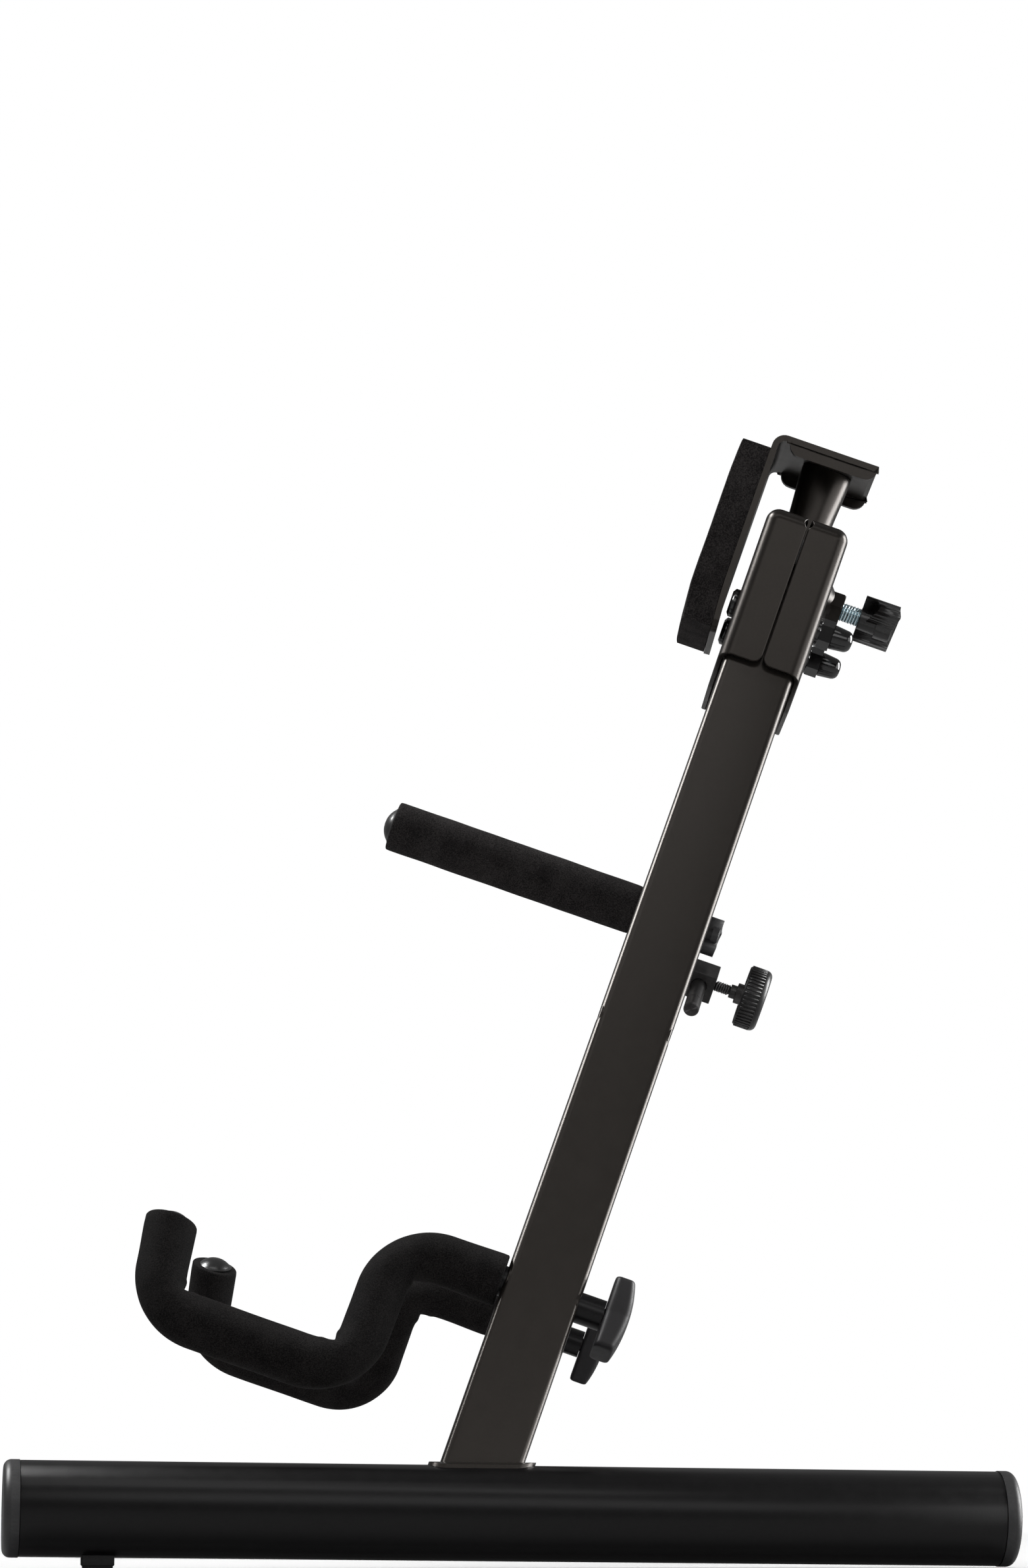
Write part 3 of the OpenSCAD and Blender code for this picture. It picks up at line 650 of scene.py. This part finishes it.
def buildNeckPad():
    p = neckPad
    rows, columns, layers = p["rows"], p["columns"], p["layers"]
    verts = []
    faces = []
    index = {}

    # Lattice point: i up, j across, k from back to front
    def at(i, j, k):
        if (i, j, k) not in index:
            index[i, j, k] = len(verts)
            z = p["low"] + (p["top"] - p["low"]) * i / rows
            y = -p["half"] + 2 * p["half"] * j / columns
            x = p["back"] + (p["front"] - p["back"]) * k / layers
            if k == layers:
                u, v = abs(2 * i / rows - 1), abs(2 * j / columns - 1)
                x += p["crown"] * (u ** 6 + v ** 6 - 0.2)
            wave = sum(high * noise.noise(Vector((y, z, x)) * scale) for high, scale in p["waves"])
            x += max(0.0, p["kink"] - z) * math.tan(math.radians(p["bend"]))
            verts.append((x - wave, y + wave * 0.5, z + wave * 0.4))
        return index[i, j, k]

    for i in range(rows):
        for j in range(columns):
            faces.append((at(i, j, layers), at(i, j + 1, layers), at(i + 1, j + 1, layers), at(i + 1, j, layers)))
            faces.append((at(i, j, 0), at(i + 1, j, 0), at(i + 1, j + 1, 0), at(i, j + 1, 0)))
        for k in range(layers):
            faces.append((at(i, 0, k), at(i, 0, k + 1), at(i + 1, 0, k + 1), at(i + 1, 0, k)))
            faces.append((at(i, columns, k), at(i + 1, columns, k), at(i + 1, columns, k + 1),
                          at(i, columns, k + 1)))
    for j in range(columns):
        for k in range(layers):
            faces.append((at(0, j, k), at(0, j + 1, k), at(0, j + 1, k + 1), at(0, j, k + 1)))
            faces.append((at(rows, j, k), at(rows, j, k + 1), at(rows, j + 1, k + 1), at(rows, j + 1, k)))
    o = objectFrom("neckCushion", verts, faces, standFrame, padFoamLit)
    rounded(o, p["edge"], 2, 50)
    settle(o)
    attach(o, "head")
    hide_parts("neck_pad")


buildNeckPad()
print("neck pad ready")


# Knobs, screws and nuts

# A threaded rod along x: a turned core, with profile points before and after it, and its ridge
def threaded(name, x0, x1, radius, pitch, matrix, material, points=(), lead=()):
    depth = pitch * 0.66
    profile = [*lead, (x0, radius - depth - 0.3), (x0 + 0.3, radius - depth), (x1, radius - depth), *points]
    core = turned(name, profile, unmoved, material, 32)
    useTree(core, threadRidge, {"begin": x0 + pitch / 2, "turns": (x1 - x0) / pitch - 1, "length": x1 - x0 - pitch,
                                "core": radius - depth, "depth": depth, "material": material})
    settle(core)
    core.data.transform(matrix)
    return core


# Rounded end of a turned profile: from (x, r) it runs on by deep and inward by fall, at the given degrees
def crownPoints(x, r, deep, fall, degrees):
    turns = [math.radians(a) for a in degrees]
    return [(x + deep * math.sin(a), r - fall * (1 - math.cos(a))) for a in turns]


# Ribbed knob with a domed back and a hollow front, on its stepped screw
dial = {"front": 38.2, "back": 47.9, "radius": 13.2, "ribs": 48, "ribHeight": 0.5, "rim": 2.6,
        "hub": 4.4, "wall": 10.9,  # of the hollow in its front
        "mouth": ((0.2, 11.3), (0, 11.7), (0, 12.2)),
        "rib": ((-0.52, -0.3), (0.52, -0.3), (0.34, 0.5), (-0.34, 0.5)),
        "tipStart": 23.7, "tipRadius": 1.7, "threadStart": 26.4, "threadEnd": 33.0, "threadRadius": 2.35,
        "pitch": 1.0,
        "neck": ((33.0, 2.7), (33.2, 2.9), (35.5, 2.9), (35.6, 4.2), (35.8, 4.35), (41.2, 4.35))}


def dialKnob():
    d = dial
    x0, x1, r, rim = d["front"], d["back"], d["radius"], d["rim"]
    valley, back = r - d["ribHeight"], x1 - rim
    profile = [(x0 + rim, d["hub"]), (x0 + rim, d["wall"]), *((x0 + x, wide) for x, wide in d["mouth"]),
               (x0 + 0.35, valley - 0.1), (x0 + 0.9, valley), (back, valley), (back + 0.1, r - 0.1),
               *crownPoints(back + 0.1, r - 0.1, rim - 0.1, rim, (15, 30, 45, 60, 75, 86)),
               (x1, 8.0), (x1 + 0.05, 4.0), (x1 + 0.05, 0.05)]
    body = turned("dialHead", profile, unmoved, dialPlastic, 96)
    rib = softPrism("dialRib", d["rib"], x0 + 0.7, back + 0.05, unmoved, dialPlastic, edge=0.0)
    useTree(body, ribsAround, {"rib": rib, "count": d["ribs"], "radius": valley, "material": dialPlastic})
    settle(body)
    bpy.data.objects.remove(rib)
    body.data.transform(rodFrame)
    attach(body, "dial")
    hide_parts("dial_knob")
    lead = ((d["tipStart"], d["tipRadius"]), (d["threadStart"] - 0.1, d["tipRadius"]))
    screw = threaded("dialThread", d["threadStart"], d["threadEnd"], d["threadRadius"], d["pitch"], rodFrame, steel,
                     d["neck"], lead)
    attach(screw, "dial")
    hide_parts("dial_screw")


dialKnob()

# Acorn nut on its washer: a chamfered hexagon under a tapered cap with a rounded crown
acorn = {"x": 17.6, "washer": 1.4, "washerRadius": 6.0, "hexEnd": 6.6, "flat": 5.5, "turned": 38, "tip": 15.4,
         "crown": 3.2, "neck": 5.15, "taper": 4.6, "fall": 2.9}


def acornNut(side, who):
    n = acorn
    at = standFrame @ shift(n["x"], side * stand["pivotY"], 0)
    thick, wide, hexEnd, taper = n["washer"], n["washerRadius"], n["hexEnd"], n["taper"]
    corner = n["flat"] / math.cos(math.radians(30))
    angles = [math.radians(60 * i + n["turned"]) for i in range(6)]
    hexagon = [(corner * math.cos(a), corner * math.sin(a)) for a in angles]
    hexBody = softPrism("hex", hexagon, thick, hexEnd, unmoved, blackChrome, 0.35, 2, 30)
    washer = turned("washer", [(0, wide - 0.1), (0.1, wide), (thick - 0.15, wide), (thick, wide - 0.15),
                               (thick, wide / 2)], unmoved, blackChrome)
    top = n["tip"] - n["crown"]
    cap = turned("cap", [(hexEnd - 0.4, 4.8), (hexEnd, 5.0), (hexEnd + 0.5, n["neck"]), (top, taper),
                         *crownPoints(top, taper, n["crown"], n["fall"], (15, 30, 45, 60, 75, 90)),
                         (n["tip"] + 0.1, 0.8), (n["tip"] + 0.12, 0.03)], unmoved, blackChrome)
    o = joined(who + "AcornNut", [hexBody, washer, cap])
    o.data.transform(at)
    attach(o, "hinge_box")
    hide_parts(who + "_acorn_nut")


for side, who in sides:
    acornNut(side, who)

# Height stop rod in its block, with a chamfered end and a fine ring turned near it
stopBar = {"x": 19.9, "angle": 32, "radius": 3.25, "back": -12.5, "end": 30.25, "ring": 22.0, "groove": 0.14}


def stopRod():
    b = stopBar
    r, back, end, ring, low = b["radius"], b["back"], b["end"], b["ring"], b["radius"] - b["groove"]
    at = rodFrame @ shift(b["x"], 0, 0) @ turn(b["angle"] + 90, "X") @ turn(-90, "Y")
    profile = [(back, 0.05), (back, r - 0.3), (back + 0.3, r), (ring, r), (ring + 0.1, low), (ring + 0.35, low),
               (ring + 0.45, r), (end - 0.55, r), (end - 0.05, r - 0.5), (end, r - 0.6), (end, 0.05)]
    o = turned("stopRodBar", profile, at, steel)
    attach(o, "rod")
    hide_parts("stop_rod")


stopRod()

# Moulded wing knobs, from front to back along x: half is half the span, tilt the turn of the wings in degrees,
# and flute the depth of the grooves on their flanks
clampKnob = {"front": 33, "back": 48, "half": 13, "thick": 9, "hub": 12.5, "tilt": -35, "flute": 0.42}
pegKnob = {"front": 14.4, "back": 21.4, "half": 8.7, "thick": 6.4, "hub": 9.0, "tilt": 62, "flute": 0.0}
# Outline of the oblique pocket in a wing's front, as (depth, height), and its floor's slant
pocket = {"outline": ((-1, 7.5), (4.6, 7.5), (7.0, 5.2), (6.0, 2.1), (1.5, -3.5), (-1, -5.6)), "open": -20,
          "floor": -6.2, "from": 8.8, "slant": 0.40}


# S shaped two lobed outline in (y, z): lobes at both ends, each pulled to one side
def wingOutline(half, thick, waist=0.62, steps=22):
    reach = half - thick / 2
    skew = thick * 0.16
    right = []
    for i in range(steps + 1):
        t = -1 + 2 * i / steps
        width = thick / 2 * (waist + (1 - waist) * abs(t) ** 1.3) + thick * 0.18 * max(0, 1 - (abs(t) * 2.6) ** 2)
        right.append((t * reach, width + skew * math.sin(t * math.pi * 0.75)))
    left = [(y, 2 * skew * math.sin(y / reach * math.pi * 0.75) - z) for y, z in right]
    lobes = []
    for s, top, low in ((1, right[-1], left[-1]), (-1, left[0], right[0])):
        y, z, r = (top[0] + low[0]) / 2, (top[1] + low[1]) / 2, abs(top[1] - low[1]) / 2
        angles = [math.radians(90 - 180 * i / 9) for i in range(1, 9)]
        lobes.append([(y + s * r * math.cos(a), z + s * r * math.sin(a)) for a in angles])
    return right + lobes[0] + left[::-1] + lobes[1]


# The outline with shallow flutes of the given depth pressed into it
def fluted(outline, depth):
    dense = []
    for i, a in enumerate(outline):
        b = outline[(i + 1) % len(outline)]
        dense += [(a[0] + (b[0] - a[0]) * k / 3, a[1] + (b[1] - a[1]) * k / 3) for k in range(3)]
    result = []
    for i, (y, z) in enumerate(dense):
        a, b = dense[i - 1], dense[(i + 1) % len(dense)]
        out = Vector((a[1] - b[1], b[0] - a[0])).normalized()
        dip = depth * (0.5 + 0.5 * math.cos(i * 2 * math.pi / 6))
        result.append((y - out.x * dip, z - out.y * dip))
    return result


def wingKnob(name, shape, at, body, node, material):
    x0, x1, half, hub, tilt = (shape[key] for key in ("front", "back", "half", "hub", "tilt"))
    outline = wingOutline(half, shape["thick"])
    if shape["flute"]:
        outline = fluted(outline, shape["flute"])
    blank = softPrism(name, outline, x0, x1, unmoved, material, 0.35, 2, 60)
    # the pockets and the hub keep their share of the knob, as drawn for one 15 deep and 26 wide
    k, h = (x1 - x0) / 15, half / 13
    for flank in (0, 180):
        verts = [(x0 + a * k, pocket["open"], z * h) for a, z in pocket["outline"]]
        verts += [(x0 + a * k, (pocket["floor"] + (pocket["from"] - z) * pocket["slant"]) * h, z * h)
                  for a, z in pocket["outline"]]
        carve(blank, objectFrom("cutter", verts, prismFaces(len(pocket["outline"])), turn(flank - tilt, "X"),
                                material, smooth=False))
    # the back swells behind each wing, seen from the side
    for v in blank.data.vertices:
        level = v.co.y * math.sin(math.radians(tilt)) + v.co.z * math.cos(math.radians(tilt))
        swell = 1.3 * math.exp(-((level / h - 3) / 2.4) ** 2) + 0.6 * math.exp(-((level / h + 7) / 2.6) ** 2)
        v.co.x += swell * k * max(0.0, 1 - (x1 - v.co.x) / 4)
    waist = x0 + 7.8 * k
    collar = turned(name + "Hub", [(x0 - 0.01, hub * 0.27), (x0 - 0.01, hub * 0.36), (x0 + 0.4, hub * 0.40),
                                   (waist, hub * 0.42), (waist, hub / 2), (x1 - 0.6, hub / 2),
                                   (x1 - 0.1, hub * 0.42), (x1 - 0.05, 0.05)], unmoved, material, 40)
    blank.data.set_sharp_from_angle(angle=math.radians(45))
    o = joined(name, [blank, collar])
    o.data.transform(at @ turn(tilt, "X"))
    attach(o, body)
    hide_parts(node)


wingKnob("clampWing", clampKnob, clampFrame, "clamp", "clamp_knob", plastic)
wingKnob("pegWing", pegKnob, pegFrame, "peg_clamp", "peg_knob", capPlastic)

clampScrew = {"start": 9.9, "end": 36, "radius": 4.0, "pitch": 1.25}
clampThread = threaded("clampThread", clampScrew["start"], clampScrew["end"], clampScrew["radius"],
                       clampScrew["pitch"], clampFrame, zinc)
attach(clampThread, "clamp")
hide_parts("clamp_screw")
print("knobs ready")


# Long wing with a flat front, a domed back and nearly flat flanks; fall lowers the dome towards the ends, which
# narrow by taper from tipFrom on; sway bends the wing sideways, and square flattens its section
tail = {"front": 24.95, "dome": 35.05, "fall": 2.4, "half": 15.0, "wide": 8.3, "waist": 0.07, "tipFrom": 0.90,
        "taper": 0.66, "sway": 0.8, "square": (1.18, 1.35), "around": 24, "rings": 36, "last": 0.94,
        "ends": (0.97, 0.985, 1.0)}


def tailKnob(side, who):
    k = tail
    x0, wide, around = k["front"], k["wide"], k["around"]
    inner = [k["last"] * (2 * i / k["rings"] - 1) for i in range(k["rings"] + 1)]
    places = [-t for t in reversed(k["ends"])] + inner + list(k["ends"])
    verts = []
    for t in places:
        tip = max(0.0, abs(t) - k["tipFrom"]) / (1 - k["tipFrom"])
        w = wide * math.sqrt(1 - (tip * k["taper"]) ** 2)
        w *= 1 - k["waist"] * (1 - abs(math.sin(t * math.pi * 0.62)))
        sway = side * k["sway"] * math.sin(t * math.pi * 0.55)
        dome = k["dome"] - t ** 2 * k["fall"]
        for j in range(around):
            a = 2 * math.pi * j / around
            y, f = (max(-1.0, min(1.0, q)) for q in (k["square"][0] * math.cos(a), k["square"][1] * math.sin(a)))
            y *= w
            verts.append(((x0 + dome) / 2 + (dome - x0) / 2 * f * (1 - 0.06 * (y / wide) ** 2), y + sway,
                          k["half"] * t))
    o = objectFrom(who + "TailWing", verts, ringFaces(len(places), around), unmoved, tailPlastic)
    smooth = o.modifiers.new("smooth", "SUBSURF")
    smooth.levels = smooth.render_levels = 1
    settle(o)
    o.data.transform(armFrame(side))
    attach(o, who + "_arm_clamp")
    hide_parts(who + "_arm_knob")


for side, who in sides:
    tailKnob(side, who)
print("tail knobs ready")


# Mast: round tube whose top is flattened where it is welded under the bracket
mast = {"low": -203.0, "top": 72.2, "flatFrom": 46, "flatTo": 72, "radius": 9.5, "wider": 1.25, "flatter": 1.1,
        "around": 64}


def buildMast():
    m = mast
    first, last, r = m["flatFrom"], m["flatTo"], m["radius"]
    verts = []
    stations = [(m["low"], 0), *((z, 0) for z in range(-200, first, 15)),
                *((z, (z - first) / (last - first)) for z in range(first, last)), (m["top"], 1)]
    for z, t in stations:
        t = t * t * (3 - 2 * t)
        for j in range(m["around"]):
            a = 2 * math.pi * j / m["around"]
            verts.append(((r + m["wider"] * t) * math.cos(a), (r - m["flatter"] * t) * math.sin(a), z))
    o = objectFrom("mastTube", verts, ringFaces(len(stations), m["around"]), standFrame, powder)
    o.data.set_sharp_from_angle(angle=math.radians(50))
    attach(o, "head")
    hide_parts("mast")


buildMast()


# Pressed sheet

# An open skin, whose folds (edges, radius, steps) are rounded in turn before it is thickened inward. An edge is
# found by its middle and its length, as the folds before it renumber the points; notch moves points along x
def pressed(name, verts, faces, folds, thick, notch=None):
    me = bpy.data.meshes.new(name)
    me.from_pydata(verts, [], faces)
    bm = bmesh.new()
    bm.from_mesh(me)
    bmesh.ops.recalc_face_normals(bm, faces=bm.faces)
    for pairs, radius, steps in folds:
        chosen = []
        for pair in pairs:
            a, b = (Vector(verts[i]) for i in pair)
            for e in bm.edges:
                p, q = (v.co for v in e.verts)
                if (p + q - a - b).length < 0.0005 and abs((p - q).length - (a - b).length) < 0.01:
                    chosen.append(e)
        bmesh.ops.bevel(bm, geom=chosen, offset=radius, segments=steps, profile=0.5, affect="EDGES",
                        clamp_overlap=True)
    if notch:
        for v in bm.verts:
            v.co.x += notch(v.co)
    bm.to_mesh(me)
    bm.free()
    me.transform(standFrame)
    me.materials.append(powder)
    me.shade_smooth()
    o = bpy.data.objects.new(name, me)
    bpy.context.collection.objects.link(o)
    t = o.modifiers.new("sheet", "SOLIDIFY")
    t.thickness = thick / 1000
    t.offset = -1
    t.use_even_offset = True
    t.use_quality_normals = True
    return settle(o)


# Softens the free edges of a sheet
def softenSheet(o):
    rounded(o, 0.5, 2, 50)
    even = o.modifiers.new("even", "WEIGHTED_NORMAL")
    even.keep_sharp = True
    settle(o)


# One half of the hinge box: face and seam are the places of its flat side and its rim along x, flange and tab
# the heights of its lower corners and its lowest edge, and notch how far its top corners fall back from the seam
hinge = {"face": 17.6, "seam": 0.25, "half": 50.18, "top": 40.5, "flange": -24.8, "tab": -36.0, "tabHalf": 26.0,
         "sheet": 2.2, "fold": 5.4, "foldSteps": 7, "corner": 4.0, "notch": 1.5, "mastHole": 11.2, "clampHole": 5.0}


def boxShell(way, node, name):
    b = hinge
    x, s, y, top, low = way * b["face"], way * b["seam"], b["half"], b["top"], b["flange"]
    c, fold = b["corner"], b["fold"]
    verts = [(x, -y, low), (x, -b["tabHalf"], b["tab"]), (x, b["tabHalf"], b["tab"]), (x, y, low), (x, y, top),
             (x, -y, top)]
    faces = [(0, 1, 2, 3, 4, 5)]
    tops = []
    for sy, first, last in ((-y, 0, 5), (y, 3, 4)):
        start = len(verts)
        verts += [(s + way * (c - along), sy, low + rise) for along, rise in quarter(c)]
        verts.append((s, sy, top))
        tops.append(len(verts) - 1)
        faces.append((first, *range(start, len(verts)), last))
    faces.append((5, tops[0], tops[1], 4))
    folds = [(((0, 5), (3, 4), (5, 4), (5, tops[0]), (4, tops[1])), fold, b["foldSteps"])]

    def notch(co):
        if abs(co.x - s) > 0.01 or co.z < top - fold - 0.01 or abs(co.y) <= y - fold - 0.01:
            return 0.0
        near = 1 - abs((co.z - top + fold * 0.45) / (fold * 0.55))
        return way * b["notch"] * max(0.0, min(1.0, near * 1.3))

    o = pressed(name, verts, faces, folds, b["sheet"], notch)
    hole = b["mastHole"]
    carve(o, turned("cut", [(top - 9, hole), (top + 2, hole)], standFrame @ turn(-90, "Y"), powder))
    if way > 0:
        hole = b["clampHole"]
        carve(o, turned("cut", [(12, hole), (20, hole)], clampFrame, powder))
    softenSheet(o)
    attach(o, "hinge_box")
    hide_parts(node)


boxShell(-1, "box_front", "boxFrontShell")
boxShell(1, "box_back", "boxBackShell")
print("hinge box ready")

# The head's sheet: its front turns back by bend below the kink, and ears hang to drop on both sides
bracket = {"front": -25.6, "back": 19.7, "half": 28.5, "top": 75.2, "drop": 68.0, "ear": -18.4, "kink": 5.2,
           "low": -13.5, "bend": 3.8, "sheet": 2.6, "fold": 5.4, "corner": 5.0}


def buildBracket():
    b = bracket
    x, y, top, back, ear, drop = (b[key] for key in ("front", "half", "top", "back", "ear", "drop"))
    kink, low, c = b["kink"], b["low"], b["corner"]
    slope = math.tan(math.radians(b["bend"]))
    verts = [(x, -y, top), (x, y, top), (ear, y, top), (back, y, top), (back, -y, top), (ear, -y, top),
             (x, -y, kink), (x, y, kink)]
    faces = [(0, 1, 2, 3, 4, 5), (0, 6, 7, 1)]
    lower = [(y - inward, low + c - along) for along, inward in quarter(c)]
    verts += [(x + (kink - z) * slope, w, z) for w, z in lower + [(-w, z) for w, z in reversed(lower)]]
    faces.append((7, *range(8, len(verts)), 6))
    for s, first, last in ((-1, 4, 5), (1, 3, 2)):
        start = len(verts)
        verts += [(back - inward, s * y, drop + c - along) for along, inward in quarter(c)]
        verts += [(ear + c - along, s * y, drop + inward) for along, inward in quarter(c)]
        faces.append((first, *range(start, len(verts)), last))
    folds = [(((0, 1),), b["fold"], 7), (((5, 4), (2, 3)), 2.9, 5), (((6, 7),), 5.0, 4)]
    o = pressed("headSheet", verts, faces, folds, b["sheet"])
    softenSheet(o)
    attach(o, "head")
    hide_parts("head_bracket")


buildBracket()
print("bracket ready")


# CAD pieces that stay, each with its finish, the width of its rounded edges and their segments
onEachSide = {"leg_tube": (powder,), "foot_tube": (shadedPowderCoat, 0.3), "leg_weld": (powder,), "pivot_sleeve": (zinc,),
              "front_cap": (capPlastic,), "rear_cap": (capPlastic,), "front_pad": (rubber, 0.3),
              "pivot_bolt": (blackChrome, 0.3), "arm_rod": (shadedPowderCoat,), "arm_screw": (steel,)}
inTheMiddle = {"clamp_nut": (powder, 0.3), "guide_tube": (powder,), "upper_bush": (plastic,),
               "lower_bush": (plastic,), "mast_plug": (plastic, 0.3), "peg_collar": (powder, 0.5, 3),
               "peg_tube": (powder,), "rod_block": (steel, 0.35, 3), "peg_screw": (zinc,)}
for _, who in sides:
    for piece, look in onEachSide.items():
        softenCad(who + "_" + piece, *look)
for piece, look in inTheMiddle.items():
    softenCad(piece, *look)
print("frame finished")


# Floor, light and camera

ground = {"half": 20.0, "z": -0.0002, "grain": 3, "low": (0.80,) * 3, "high": (0.84,) * 3,
          "near": (0.6, 0.5), "far": (4.0, 0.95),  # distance and how white the camera sees it there
          "mirrored": 0.09}  # share of that white in reflections


def floorMaterial():
    g = ground
    m, tree, shader = newMaterial("studioFloor")
    place = newNode(tree, "ShaderNodeTexCoord")
    tex = newNode(tree, "ShaderNodeTexNoise", {"Scale": g["grain"]})
    ramp = newRamp(tree, (0, g["low"]), (1, g["high"]))
    link(tree, place.outputs["Object"], tex.inputs["Vector"])
    link(tree, tex.outputs["Fac"], ramp.inputs["Fac"])
    link(tree, ramp.outputs["Color"], shader.inputs["Base Color"])
    shader.inputs["Roughness"].default_value = 0.9
    shader.inputs["Specular IOR Level"].default_value = 0.0
    shader.inputs["Emission Color"].default_value = (1, 1, 1, 1)
    # the camera sees the floor as white as the background, with the shadows kept
    away = newNode(tree, "ShaderNodeVectorMath")
    away.operation = "LENGTH"
    fade = newNode(tree, "ShaderNodeMapRange", {"From Min": g["near"][0], "From Max": g["far"][0],
                                                "To Min": g["near"][1], "To Max": g["far"][1]})
    link(tree, place.outputs["Object"], away.inputs[0])
    link(tree, away.outputs["Value"], fade.inputs["Value"])
    # reflections see a part of it, as in a room with dark walls
    rays = newNode(tree, "ShaderNodeLightPath")
    mirror = newNode(tree, "ShaderNodeMath")
    mirror.operation = "MULTIPLY_ADD"
    mirror.inputs[1].default_value = g["mirrored"]
    lift = newNode(tree, "ShaderNodeMath")
    lift.operation = "MULTIPLY"
    link(tree, rays.outputs["Is Glossy Ray"], mirror.inputs[0])
    link(tree, rays.outputs["Is Camera Ray"], mirror.inputs[2])
    link(tree, mirror.outputs["Value"], lift.inputs[0])
    link(tree, fade.outputs["Result"], lift.inputs[1])
    link(tree, lift.outputs["Value"], shader.inputs["Emission Strength"])
    return m


half = ground["half"]
floor = objectFrom("studioGround", [(-half, -half, 0), (half, -half, 0), (half, half, 0), (-half, half, 0)],
                   [(0, 1, 2, 3)], unmoved, floorMaterial(), smooth=False)
floor.location.z = ground["z"]

# Lamps: place, width, height, power in watts, and whether they serve reflections, plain light or both
middle = (0.02, 0, 0.22)
lamps = {"leftPanel": ((-1.6, 0.2, 2.1), 0.9, 0.9, 90, "mirrored"),
         "rightPanel": ((2.0, 0.3, 0.6), 1.0, 1.8, 110, "mirrored"),
         "rightFill": ((1.7, -0.9, 0.5), 1.1, 1.2, 9, "mirrored"),
         "frontPanel": ((0.1, -1.5, 0.80), 1.8, 0.50, 4.0, "mirrored"),
         "frontSoft": ((-0.1, -1.3, 2.1), 1.8, 0.5, 5, "both"),
         "topSoft": ((0.1, 0.3, 2.2), 1.8, 1.2, 24, "plain")}


def softBox(name, place, width, height, power, use):
    light = bpy.data.lights.new(name, "AREA")
    light.shape = "RECTANGLE"
    light.size = width
    light.size_y = height
    light.energy = power
    o = bpy.data.objects.new(name, light)
    o.location = place
    o.rotation_euler = (Vector(middle) - Vector(place)).to_track_quat("-Z", "Y").to_euler()
    o.visible_camera = False
    o.visible_diffuse = use != "mirrored"
    o.visible_glossy = use != "plain"
    bpy.context.collection.objects.link(o)


for name, lamp in lamps.items():
    softBox(name, *lamp)


# White for the camera, dim for reflections and dimmer for everything else
def studioWorld(seen=1.0, mirrored=0.2, lit=0.12):
    world = bpy.data.worlds.new("studio")
    bpy.context.scene.world = world
    world.use_nodes = True
    tree = world.node_tree
    tree.nodes.clear()
    rays = newNode(tree, "ShaderNodeLightPath")
    result = newNode(tree, "ShaderNodeBackground", {"Color": (1, 1, 1, 1), "Strength": lit})
    for ray, strength in (("Is Glossy Ray", mirrored), ("Is Camera Ray", seen)):
        other = newNode(tree, "ShaderNodeBackground", {"Color": (1, 1, 1, 1), "Strength": strength})
        pick = newNode(tree, "ShaderNodeMixShader")
        link(tree, rays.outputs[ray], pick.inputs["Fac"])
        link(tree, result.outputs[0], pick.inputs[1])
        link(tree, other.outputs[0], pick.inputs[2])
        result = pick
    link(tree, result.outputs[0], newNode(tree, "ShaderNodeOutputWorld").inputs["Surface"])


studioWorld()

# The photograph's view: focal length and height in its pixels, tilt and pan in degrees
view = {"focal": 6828.4, "height": 2380, "film": 36.0, "shift": 0.1217, "place": (-0.0222, -1.8658, 0.020),
        "tilt": 6.828, "pan": -0.74}
shot = bpy.data.cameras.new("photoView")
shot.sensor_fit = "AUTO"
shot.sensor_width = view["film"]
shot.lens = view["focal"] / view["height"] * view["film"]
shot.shift_y = view["shift"]
shot.clip_start = 0.05
shot.clip_end = 50
camera = bpy.data.objects.new("photoView", shot)
camera.location = view["place"]
camera.rotation_euler = (math.radians(90 + view["tilt"]), 0, math.radians(view["pan"]))
bpy.context.collection.objects.link(camera)
bpy.context.scene.camera = camera
bpy.context.scene.view_settings.view_transform = "Standard"
print("scene ready")
